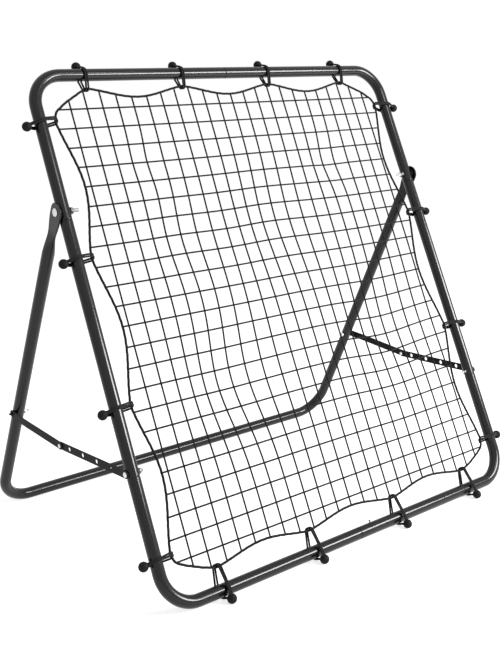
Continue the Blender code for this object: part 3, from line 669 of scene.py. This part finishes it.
def cordTube(bm, line, radius, count, closed=False, lobes=0, turns=0.0, depth=0.0, start=0.0):
    # A cord along the line, with a map of metres along and turns around. Lobes wind round it.
    uvLayer = bm.loops.layers.uv.get("cordMap") or bm.loops.layers.uv.new("cordMap")
    total = len(line)
    lengths = [start]
    rings = []
    side = None
    for k, point in enumerate(line):
        before = line[k - 1] if closed or k else point
        after = line[(k + 1) % total] if closed or k < total - 1 else point
        way = (after - before).normalized()
        if side is None:
            side = way.cross(yAxis if abs(way.y) < 0.9 else xAxis).normalized()
        side = (side - way * side.dot(way)).normalized()
        other = way.cross(side)
        if k:
            lengths.append(lengths[-1] + (point - line[k - 1]).length)
        points = []
        for j in range(count):
            angle = tau * j / count
            swell = 1 + depth * (cos(lobes * angle - tau * lengths[-1] * turns) - 1) / 2 if lobes else 1
            points.append(point + (side * cos(angle) + other * sin(angle)) * radius * swell)
        rings.append([bm.verts.new(spot) for spot in points])
    pairs = list(zip(range(total - 1), range(1, total)))
    if closed:
        pairs.append((total - 1, 0))
        lengths.append(lengths[-1] + (line[0] - line[-1]).length)
    for near, far in pairs:
        farLength = lengths[far] if far else lengths[-1]
        for j in range(count):
            k = (j + 1) % count
            face = bm.faces.new((rings[near][j], rings[near][k], rings[far][k], rings[far][j]))
            around = (j / count, (j + 1) / count, (j + 1) / count, j / count)
            along = (lengths[near], lengths[near], farLength, farLength)
            for loop, s, a in zip(face.loops, along, around):
                loop[uvLayer].uv = (s, a)
    if not closed:
        bm.faces.new(rings[0][::-1])
        bm.faces.new(rings[-1])


def makeStrands(columns, rows, border):
    step = netSteps["line"]
    lines = [[waved(u, step * k) for k in range(int(frameShape["height"] / step) + 1)] for u in columns]
    lines += [[waved(-sideX + step * k, v) for k in range(int(2 * sideX / step) + 1)] for v in rows]
    bm = bmesh.new()
    for line in lines:
        cordTube(bm, evenly(clipped(line, border), netSteps["strand"], closed=False), netShape["strand"], 8)
    return newMesh("netStrands", bm, sharp=crease["cord"])


def makeKnots(columns, rows, border):
    bm = bmesh.new()
    for u in columns:
        for v in rows:
            spot = waved(u, v)
            if insideBorder(spot, border):
                size = netShape["knot"] * random.uniform(*netShape["knotSizes"])
                turn = Matrix.Rotation(random.uniform(*netShape["knotTurns"]), 4, "Y")
                shape = Matrix.Diagonal([size * share for share in netShape["knotFlatness"]] + [1])
                matrix = Matrix.Translation(spot) @ turn @ shape
                bmesh.ops.create_icosphere(bm, subdivisions=2, radius=1.0, matrix=matrix)
    return newMesh("netKnots", bm, sharp=crease["cord"])


def makeNet():
    random.seed(11)
    border = borderLine(netSteps["line"])
    rows = [netShape["firstRow"] + netShape["rowPitch"] * k for k in range(netShape["rows"])]
    count = netShape["columns"]
    half = (count - 1) / 2
    columns = [netShape["columnMiddle"] + netShape["columnPitch"] * (k - half) for k in range(count)]
    strands = makeStrands(columns, rows, border)
    knots = makeKnots(columns, rows, border)
    bm = bmesh.new()
    turns = netShape["borderTurns"]
    line = borderLine(netSteps["border"])
    cordTube(bm, line, netShape["border"], 12, closed=True, lobes=3, turns=turns, depth=netShape["borderGroove"])
    borderMesh = newMesh("netBorder", bm, sharp=crease["cord"])
    place("netStrands", strands, [netTwine], frameMatrix, "root", "net_twine", "net")
    place("netKnots", knots, [netTwine], frameMatrix, "root", "net_twine")
    place("netBorder", borderMesh, [borderRope], frameMatrix, "root", "net_twine")


makeNet()
print("net made")


# Ball bungees

bungeeShape = {
    "ball": 0.0095,
    "reach": 0.0280,  # ball's centre from the tube's axis
    "mouth": 0.48,  # half the angle of the ball's open mouth
    "dimple": 0.14,  # and of the dimple opposite
    "seam": (0.00014, 0.05),  # height and spread of the moulding seam round the ball
    "cord": 0.0020,
    "hookPlay": 0.0005,
    "throat": 0.0034,  # half the distance between the two limbs in the ball
    "throatDeep": 0.4,  # share of the ball's radius from its centre
    # Shift of the front limb along the tube, the back limb the other way
    "slant": {"side": 0.0036, "top": 0.0016, "bottom": 0.0034},
    "slantLoss": 0.6,  # share of the shift that is gone at the ball
    "wobble": 0.0003,
    "topTip": radians(30),
    "droops": (radians(1.8), radians(4.6), radians(5.1), radians(8.6)),
    "sideReach": (0.0262, 0.0287, 0.0282, 0.0300),
    # Half the distance between the two strands
    "apart": {
        "top": {"hook": 0.0025, "front": 0.0021, "back": 0.0038, "ball": 0.0014},
        "side": {"hook": 0.0021, "front": 0.0019, "back": 0.0021, "ball": 0.0014},
        "bottom": {"hook": 0.0021, "front": 0.0017, "back": 0.0034, "ball": 0.0014},
    },
}
tieGaps = {
    "side": sideX - netShape["reach"],
    "top": frameShape["height"] - netShape["highLevel"] + 0.001,
    "bottom": netShape["lowLevel"] + 0.001,
}
wrapRadius = tubeRadius + clearance + bungeeShape["cord"]
hookRadius = netShape["border"] + bungeeShape["hookPlay"] + bungeeShape["cord"]


def beltLine(gap, throat):
    # A tight closed line round the tube, the border and the stop in the ball. x is away from the net.
    points = []
    circles = ((throat, bungeeShape["throat"], 24), ((0, 0), wrapRadius, 64), ((-gap, 0), hookRadius, 28))
    for centre, radius, count in circles:
        for k in range(count):
            angle = tau * k / count
            points.append(Vector((centre[0] + radius * cos(angle), centre[1] + radius * sin(angle))))
    order = convex_hull_2d(points)
    start = max(range(len(order)), key=lambda k: points[order[k]].x)
    hull = [points[k] for k in order[start:] + order[:start]]
    return smoothed(evenly([Vector((p.x, p.y, 0)) for p in hull], 0.0018), 2)


def strandOffset(point, gap, throatX, kind, side):
    # Along the tube: the spacing of the two strands, and the slant that parts the front limb from the back one.
    apart = bungeeShape["apart"][kind]
    away = point.x > 0
    share = min(1.0, point.x / throatX if away else -point.x / gap)
    end = bungeeShape["throat"] if away else hookRadius
    limb = max(-1.0, min(1.0, point.y / (wrapRadius + (end - wrapRadius) * share)))
    atTube = apart["front"] + (apart["back"] - apart["front"]) * (limb + 1) / 2
    spacing = atTube + (apart["ball" if away else "hook"] - atTube) * share
    kept = 1 - bungeeShape["slantLoss"] * share if away else 1.0
    return spacing * side - bungeeShape["slant"][kind] * limb * kept


def ballProfile():
    # From the dimple at the far end round to the mouth that faces the tube.
    radius = bungeeShape["ball"]
    mouth = bungeeShape["mouth"]
    rise, width = bungeeShape["seam"]
    profile = [(radius * 0.80, radius * 0.10)]
    for angle in spread(bungeeShape["dimple"], pi - mouth, 26):
        reach = radius + rise * exp(-(((angle - pi / 2) / width) ** 2))
        profile.append((reach * cos(angle), reach * sin(angle)))
    inner = ((-0.82, sin(mouth) * 0.90), (-0.60, sin(mouth) * 0.84))
    return profile + scaled(inner, radius, radius)


def bungeeMesh(name, out, width, kind, ball, seed):
    # Ball with its mouth towards the tube, and the cord's two strands round tube and border.
    random.seed(seed)
    bm = bmesh.new()
    gap = tieGaps[kind]
    toBall = Vector(ball).normalized()
    throat = Vector(ball) - toBall * bungeeShape["ball"] * bungeeShape["throatDeep"]
    line = beltLine(gap, throat)
    for side in (-1, 1):
        wobble = random.uniform(-bungeeShape["wobble"], bungeeShape["wobble"])
        strand = []
        for p in line:
            offset = strandOffset(p, gap, throat.x, kind, side)
            if p.x < -tubeRadius:
                offset += wobble * (-p.x - tubeRadius) / gap * 2
            strand.append(out * p.x + yAxis * p.y + width * offset)
        cordTube(bm, strand, bungeeShape["cord"], 10, closed=True, start=random.random())
    way = out * toBall.x + yAxis * toBall.y
    skin(bm, lathe(ballProfile(), 32, out * ball[0] + yAxis * ball[1], way), material=1)
    return newMesh(name, bm, sharp=crease["ball"])


def makeBungees():
    reach = bungeeShape["reach"]
    tip = bungeeShape["topTip"]
    radius = bungeeShape["ball"]
    looks = [elasticCord, ballPlastic]
    low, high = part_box("ball_bungee_bottom_1")
    ballSpot = frameMatrix.inverted() @ Vector(((low.x + high.x) / 2, low.y + radius, radius + clearance))
    floorBall = (-ballSpot.z, ballSpot.y)
    topBall = (reach * cos(tip), reach * sin(tip))
    for kind, out, level, ball, ties, seed in (
        ("top", zAxis, frameShape["height"], topBall, netShape["tiesTop"], 0),
        ("bottom", -zAxis, 0, floorBall, netShape["tiesBottom"], 10),
    ):
        for number, u in enumerate(ties, 1):
            mesh = bungeeMesh(kind + "Bungee", out, xAxis, kind, ball, seed + number)
            node = f"ball_bungee_{kind}_{number}"
            place(f"{kind}Bungee_{number}", mesh, looks, onFrame(u, level), "root", "bungee", node)
    sideTies = zip(netShape["tiesUp"], bungeeShape["droops"], bungeeShape["sideReach"])
    for number, (v, droop, far) in enumerate(sideTies, 1):
        level = v - tieGaps["side"] * sin(droop)
        for word, side in sides.items():
            mesh = bungeeMesh("sideBungee", xAxis * side, zAxis, "side", (far, 0), 20 + number + 10 * side)
            matrix = onFrame(sideX * side, level) @ Matrix.Rotation(droop * side, 4, "Y")
            node = f"ball_bungee_{word}_{number}"
            place(f"sideBungee_{word}_{number}", mesh, looks, matrix, "root", "bungee", node)


makeBungees()
print("bungees made")


# Rear leg

fastenerShape = {
    "washer": {"radius": 0.0095, "thick": 0.0012, "edge": 0.00025},
    "pivotBolt": {"radius": 0.004, "head": 0.0082, "rise": 0.0026, "tail": 0.012, "pitch": 0.00125},
    "pivotNut": {"radius": 0.0075, "height": 0.0062},
    "braceBolt": {"radius": 0.003, "head": 0.0055, "rise": 0.0022, "tail": 0.004, "pitch": 0.001},
    "braceNut": {"radius": 0.0058, "height": 0.005},
    "knuckle": {"head": 0.0043, "height": 0.005},
    "rearPin": {"radius": 0.0023, "tail": 0.0065, "pitch": 0.0008},
    "rearPinHead": {"flange": 0.0045, "rise": 0.0012, "stub": 0.0042},
}

legShape = {
    "bend": 0.072,
    "eyeThickness": 0.0034,
    "eyeTop": 0.018,
    "eyeFlat": 0.012,
    "eyeFlare": 0.084,
    "narrowed": 0.6,  # share of the flare by which the eye is no wider than the tube
    "thickens": 0.35,  # and from which it swells to the tube's thickness
    "squareness": 0.35,
    "dish": 0.16,
    "barUp": tubeRadius * cos(pi / 16),  # the solids' bar stands on one flat of its sixteen sides
    "topSteps": 10,
    "flatSteps": 3,
    "flareSteps": 24,
}
washerX = outerX + clearance
eyeX = washerX + fastenerShape["washer"]["thick"] + clearance
legX = eyeX + legShape["eyeThickness"] / 2


def eased(share):
    return share * share * (3 - 2 * share)


def eyeSections():
    # Height, half thickness, half width and squareness, from the round top down to the round tube.
    sections = []
    thin = legShape["eyeThickness"] / 2
    half = pi * tubeRadius / 2
    flat = legShape["squareness"]
    for k in range(1, legShape["topSteps"]):
        angle = pi / 2 * (1 - k / legShape["topSteps"])
        sections.append((legShape["eyeTop"] * sin(angle), thin, half * cos(angle), flat))
    for k in range(legShape["flatSteps"]):
        sections.append((-legShape["eyeFlat"] * k / legShape["flatSteps"], thin, half, flat))
    for share in spread(0, 1, legShape["flareSteps"]):
        swell = eased(max(0, share - legShape["thickens"]) / (1 - legShape["thickens"]))
        thick = thin + (tubeRadius - thin) * swell
        wide = half + (tubeRadius - half) * eased(min(1, share / legShape["narrowed"]))
        depth = -legShape["eyeFlat"] - legShape["eyeFlare"] * share
        sections.append((depth, thick, wide, flat + (1 - flat) * swell))
    return sections


def eyeStations(side):
    # The pressed end of the leg. Its middle is dished a little.
    rings = []
    flat = legShape["squareness"]
    count = tubeLook["sides"]
    for z, thick, broad, power in eyeSections():
        dish = legShape["dish"] * (1 - (power - flat) / (1 - flat))
        points = []
        for k in range(count):
            c = cos(tau * k / count)
            s = sin(tau * k / count)
            x = thick * abs(c) ** power * (1 if c >= 0 else -1)
            y = broad * abs(s) ** power * (1 if s >= 0 else -1)
            x *= 1 - dish * max(0.0, 1 - (y / broad) ** 2)
            points.append(Vector((legX * side + x * side, y, z)))
        rings.append(points)
    return rings


def makeLeg():
    length = (pivot.z - legShape["barUp"]) / cos(legLean)
    path = bendStations(Vector((-legX, 0, -length)), -zAxis, xAxis, legShape["bend"])
    path += bendStations(Vector((legX, 0, -length)), xAxis, zAxis, legShape["bend"])
    bars = [ring(spot, way.cross(-yAxis), yAxis, tubeRadius, tubeLook["sides"]) for spot, way in path]
    mesh = ringMesh("rearLeg", eyeStations(-1) + bars + eyeStations(1)[::-1])
    holes = []
    for side in sides.values():
        holes.append(((legX * side, 0, 0), holeSizes["pivot"]))
        holes.append(((legX * side, 0, -rearPinDown), holeSizes["rearPin"]))
    place("rearLeg", drilled(mesh, holes), [blackPaint], legMatrix, "rear_leg", "black_steel", "rear_leg")


makeLeg()
print("rear leg made")


# Fasteners

turnedSides = 48
boltSides = 24
thread = {"depth": 0.15, "turnRings": 8, "taperRings": 6}  # depth as a share of the radius
frameNutX = sideX - tubeRadius - clearance
legNutX = legX - tubeRadius - clearance


def turned(side, profile, corner=None, count=turnedSides):
    # Rings of (x, radius) pairs, or of a hexagon with this corner radius that circles of those radii cut.
    rings = []
    for x, limit in profile:
        points = []
        for k in range(count):
            angle = tau * k / count
            reach = limit
            if corner:
                reach = min(limit, corner * cos(pi / 6) / cos((angle + pi / 6) % (pi / 3) - pi / 6))
            points.append(Vector((x * side, reach * cos(angle), reach * sin(angle))))
        rings.append(points)
    return rings


def lockNut(name, x, side, nut, shank):
    # Outer face at x. The collar at its inner end holds a nylon ring.
    radius = nut["radius"]
    flat = radius * cos(pi / 6)
    bore = shank + clearance
    face = ((0, bore), (0, flat * 0.97), (0.03, flat * 1.03))
    hexagon = ((0.08, radius), (0.63, radius), (0.68, flat * 1.03))
    collar = ((0.68, flat * 0.96), (0.92, flat * 0.93), (1, flat * 0.82), (1, flat * 0.70))
    recess = ((0.936, flat * 0.68), (0.936, bore))
    profile = [(x - nut["height"] * along, limit) for along, limit in face + hexagon + collar + recess]
    return ringMesh(name, turned(side, profile, radius), closed=True)


def threadRings(near, far, side, radius, pitch):
    # A real helix: the radius dips once a turn, a little further round at each ring. Its first rings taper in.
    depth = radius * thread["depth"]
    steps = int(abs(far - near) / pitch * thread["turnRings"])
    rings = []
    for j, x in enumerate(spread(near, far, steps)):
        taper = 1 - min(1.0, (j + 0.5) / thread["taperRings"])
        points = []
        for k in range(boltSides):
            angle = tau * k / boltSides
            reach = radius - depth * max(0.5 - 0.5 * cos(angle - tau * x / pitch), taper)
            points.append(Vector((x * side, reach * cos(angle), reach * sin(angle))))
        rings.append(points)
    return rings


def boltMesh(name, side, bolt, nut, nutX, headX, head):
    # Threaded as far as its nut, and plain from there to its head.
    radius = bolt["radius"]
    tail = nutX - nut["height"] - bolt["tail"]
    rings = threadRings(tail, nutX, side, radius, bolt["pitch"])
    plain = [(nutX + radius * 0.1, radius), (headX, radius)]
    plain += [(headX + rise, reach) for rise, reach in head]
    return ringMesh(name, rings + turned(side, plain, count=boltSides))


def domed(head, rise):
    # A low round head: flat under, a short rim and a soft crown.
    dome = ((0, 0.97), (0.12, 1), (0.42, 0.985), (0.66, 0.93), (0.83, 0.82), (0.95, 0.60), (1, 0.30))
    return scaled(dome, rise, head)


def placeBolt(kind, node, word, bolt, nut, headX, level):
    # A bolt across a tube of the frame, with its lock nut.
    side = sides[word]
    matrix = onFrame(0, level)
    mesh = boltMesh(kind + "Bolt", side, bolt, nut, frameNutX, headX, domed(bolt["head"], bolt["rise"]))
    place(f"{kind}Bolt_{word}", mesh, [brightZinc], matrix, "root", "zinc", f"{node}_bolt_{word}")
    # The lock nut takes the zinc with painted shade.
    mesh = lockNut(kind + "Nut", frameNutX, side, nut, bolt["radius"])
    place(f"{kind}Nut_{word}", mesh, [shadedZinc], matrix, "root", "zinc", f"{node}_nut_{word}")


def makePivots():
    bolt = fastenerShape["pivotBolt"]
    washer = fastenerShape["washer"]
    headX = eyeX + legShape["eyeThickness"] + clearance
    radius, thick, edge = washer["radius"], washer["thick"], washer["edge"]
    bore = bolt["radius"] + clearance
    half = ((0, bore), (0, radius - edge), (edge, radius))
    profile = [(washerX + along, reach) for along, reach in half]
    profile += [(washerX + thick - along, reach) for along, reach in half[::-1]]
    up = frameShape["pivotUp"]
    for word, side in sides.items():
        placeBolt("pivot", "pivot", word, bolt, fastenerShape["pivotNut"], headX, up)
        # The washer takes the zinc with painted shade.
        mesh = ringMesh("pivotWasher", turned(side, profile), closed=True)
        place("pivotWasher_" + word, mesh, [shadedZinc], onFrame(0, up), "root", "zinc", "pivot_washer_" + word)


makePivots()
print("pivots made")


# Folding braces

strapShape = {
    "width": 0.016,
    "thickness": 0.002,
    "edge": 0.0003,
    "knuckleOut": 0.0094,  # from the front strap's plane to the split between the straps
    "frontFlat": 0.016,
    "rearFlat": 0.060,
    "knuckleFlat": 0.012,
    "ease": 0.004,  # reach of the rounding on either side of a bend
    "endSteps": 12,
    "setSteps": 24,
    "spareHoles": 4,
    "holePitch": 0.050,
    "hole": 0.0033,
    "spareHole": 0.0045,
}

frontStrapX = outerX + clearance
rearStrapX = legX + tubeRadius + clearance
splitX = frontStrapX + strapShape["knuckleOut"]


def strapMesh(name, side, length, flat, startX, endX, holes):
    # A flat bar along +Y with round ends and softened edges, set over sideways between its two flats.
    half = strapShape["width"] / 2
    thick = strapShape["thickness"]
    ease = strapShape["ease"]
    between = length - strapShape["knuckleFlat"]
    turns = spread(0, pi / 2, strapShape["endSteps"])[1:-1]
    spots = [-half * cos(angle) for angle in turns] + [0.0, flat * 0.5]
    spots += spread(flat - ease, between + ease, strapShape["setSteps"]) + [length]
    spots += [length + half * sin(angle) for angle in turns]
    rings = []
    for y in spots:
        past = -y if y < 0 else max(0.0, y - length)
        wide = (max(0.0, half**2 - past**2)) ** 0.5
        soft = 0.0
        for nudge in spread(-ease, ease, 4):
            soft += min(1.0, max(0.0, (y + nudge - flat) / (between - flat))) / 5
        near = startX + (endX - startX) * soft
        trim = min(strapShape["edge"], wide * 0.4)
        far = near + thick
        upper = [(near, wide - trim), (near + trim, wide), (far - trim, wide), (far, wide - trim)]
        outline = [(near, trim - wide)] + upper + [(x, -z) for x, z in upper[:0:-1]]
        rings.append([Vector((x * side, y, z)) for x, z in outline])
    return drilled(ringMesh(name, rings), [((splitX * side, y, 0), radius) for y, radius in holes])


def placeBrace(kind, half, word, line, flat, startX, endX, holes, rings):
    # The strap and, in its far end, one half of the middle joint.
    matrix, length = line
    body = f"{kind}_brace_{word}"
    holes = holes + [(length, strapShape["hole"])]
    mesh = strapMesh(kind + "Brace", sides[word], length, strapShape[flat], startX, endX, holes)
    place(f"{kind}Brace_{word}", mesh, [strapPaint], matrix, body, "black_steel", body)
    mesh = ringMesh("knuckle" + half, rings)
    node = f"knuckle_{half.lower()}_{word}"
    matrix = matrix @ Matrix.Translation((0, length, 0))
    place(f"knuckle{half}_{word}", mesh, [brightZinc], matrix, body, "zinc", node)


def makeFrontBrace(word, side, line):
    shank = fastenerShape["braceBolt"]["radius"]
    corner = fastenerShape["knuckle"]["head"]
    height = fastenerShape["knuckle"]["height"]
    flat = corner * cos(pi / 6)
    endX = splitX - strapShape["thickness"]
    face = ((0, shank), (0, flat * 0.97), (0.04, flat * 1.03))
    hexagon = ((0.1, corner), (0.55, corner), (0.62, flat * 1.02))
    cap = ((0.66, flat * 0.94), (0.95, flat * 0.84), (1, flat * 0.70))
    profile = [(endX - clearance - height * along, limit) for along, limit in face + hexagon + cap]
    rings = turned(side, [(splitX, shank)] + profile, corner)
    spares = range(1, strapShape["spareHoles"] + 1)
    holes = [(strapShape["holePitch"] * k, strapShape["spareHole"]) for k in spares] + [(0, strapShape["hole"])]
    placeBrace("front", "Nut", word, line, "frontFlat", frontStrapX, endX, holes, rings)


def makeRearBrace(word, side, line):
    bolt = fastenerShape["braceBolt"]
    endX = splitX + clearance
    x = endX + clearance + strapShape["thickness"]
    head = domed(fastenerShape["knuckle"]["head"], bolt["rise"])
    profile = [(endX, bolt["radius"]), (x, bolt["radius"])] + [(x + rise, reach) for rise, reach in head]
    holes = [(0, fastenerShape["rearPin"]["radius"] + clearance)]
    placeBrace("rear", "Bolt", word, line, "rearFlat", rearStrapX, endX, holes, turned(side, profile))


def makeRearPin(word, side):
    # The pin through the leg, blackened outside and bright inside, with its lock nut.
    pin = fastenerShape["rearPin"]
    nut = fastenerShape["braceNut"]
    flange, rise, stub = fastenerShape["rearPinHead"].values()
    head = scaled(((0, 0.95), (0.2, 1), (0.8, 1), (1, 0.92)), rise, flange)
    head += scaled(((0, 1), (0.9, 1), (1, 0.82)), stub, pin["radius"], rise)
    matrix = legMatrix @ Matrix.Translation((0, 0, -rearPinDown))
    headX = rearStrapX + strapShape["thickness"] + clearance
    mesh = boltMesh("rearBracePin", side, pin, nut, legNutX, headX, head)
    looks = [blackSteel, brightZinc]
    node = "rear_brace_pin_" + word
    piece = place("rearBracePin_" + word, mesh, looks, matrix, "rear_leg", "dark_steel", node)
    for face in piece.data.polygons:
        face.material_index = 1 if abs(face.center.x) < legX else 0
    mesh = lockNut("rearNut", legNutX, side, nut, pin["radius"])
    node = "rear_brace_nut_" + word
    place("rearBraceNut_" + word, mesh, [brightZinc], matrix, "rear_leg", "zinc", node)


def braceLine(spot, target):
    # How a strap lies, and its length between the two joints.
    run, rise = target.y - spot.y, target.z - spot.z
    matrix = Matrix.Translation((0, spot.y, spot.z)) @ Matrix.Rotation(atan2(rise, run), 4, "X")
    return matrix, hypot(run, rise)


def makeBraces():
    low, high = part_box("knuckle_bolt_left")
    knuckle = (low + high) / 2
    bolt = fastenerShape["braceBolt"]
    headX = frontStrapX + strapShape["thickness"] + clearance
    for word, side in sides.items():
        makeFrontBrace(word, side, braceLine(frontPin, knuckle))
        makeRearBrace(word, side, braceLine(rearPin, knuckle))
        placeBolt("frontBrace", "front_brace", word, bolt, fastenerShape["braceNut"], headX, frontBoltUp)
        makeRearPin(word, side)


makeBraces()
print("braces made")


# Studio

photoCamera = {
    "place": (-1.32680, -1.67204, 0.92722),
    "yaw": 0.66535,
    "pitch": 0.18460,
    "roll": -0.02718,
    "focalPixels": 979.41,
    "middleRow": 269.32,  # row of the photograph that the lens looks along
    "size": (500, 669),
    "sensor": 36.0,
}


def makeCamera():
    data = bpy.data.cameras.new("photoCamera")
    tall = photoCamera["size"][1]
    data.sensor_width = photoCamera["sensor"]
    data.lens = photoCamera["focalPixels"] * photoCamera["sensor"] / tall
    data.shift_y = (photoCamera["middleRow"] - tall / 2) / tall
    data.clip_start = 0.05
    data.clip_end = 60
    camera = newObject("photoCamera", data)
    camera.matrix_world = (
        Matrix.Translation(photoCamera["place"])
        @ Matrix.Rotation(-photoCamera["yaw"], 4, "Z")
        @ Matrix.Rotation(pi / 2 - photoCamera["pitch"], 4, "X")
        @ Matrix.Rotation(photoCamera["roll"], 4, "Z")
    )
    bpy.context.scene.camera = camera


lamps = {
    "key": {"place": (1.80, -2.43, 1.54), "size": (1.45, 0.74), "power": 116},
    "strip": {"place": (0.79, -2.19, 2.69), "size": (1.30, 0.30), "power": 15},
}
lampAim = Vector((0, 0, 0.5))


def makeLamps():
    for name, lamp in lamps.items():
        data = bpy.data.lights.new(name, "AREA")
        data.shape = "RECTANGLE"
        data.size, data.size_y = lamp["size"]
        data.energy = lamp["power"]
        spot = Vector(lamp["place"])
        turn = (lampAim - spot).to_track_quat("-Z", "Y").to_matrix().to_4x4()
        newObject(name, data).matrix_world = Matrix.Translation(spot) @ turn


studio = {
    "floorColour": 0.9,
    "floorRoughness": 0.9,
    "floorLift": 0.72,
    "floorHalf": 30.0,
    "below": 0.0004,
    "worldLight": 0.30,
}


def whiteForCamera(tree):
    # One for what the camera sees directly, in gloss or through glass.
    path = addNode(tree, "ShaderNodeLightPath")
    seen = addMath(tree, "MAXIMUM", path.outputs["Is Camera Ray"], path.outputs["Is Glossy Ray"])
    return addMath(tree, "MAXIMUM", seen, path.outputs["Is Transmission Ray"])


def makeStudio():
    world = bpy.data.worlds.new("studio")
    bpy.context.scene.world = world
    world.use_nodes = True
    tree = world.node_tree
    background = tree.nodes["Background"]
    background.inputs["Color"].default_value = (1, 1, 1, 1)
    strength = mapRange(tree, whiteForCamera(tree), studio["worldLight"], 1.0)
    tree.links.new(strength, background.inputs["Strength"])
    values = {"Base Color": (*grey(studio["floorColour"]), 1), "Emission Color": (1, 1, 1, 1)}
    material, tree, shader = newMaterial("paleFloor", dict(values, Roughness=studio["floorRoughness"]))
    lift = mapRange(tree, whiteForCamera(tree), 0.0, studio["floorLift"])
    tree.links.new(lift, shader.inputs["Emission Strength"])
    bm = bmesh.new()
    bmesh.ops.create_grid(bm, x_segments=1, y_segments=1, size=studio["floorHalf"])
    floor = newObject("floor", newMesh("floor", bm))
    floor.location.z = -studio["below"]
    floor.data.materials.append(material)


makeCamera()
makeLamps()
makeStudio()
bpy.context.scene.view_settings.view_transform = "Standard"
print("studio made")
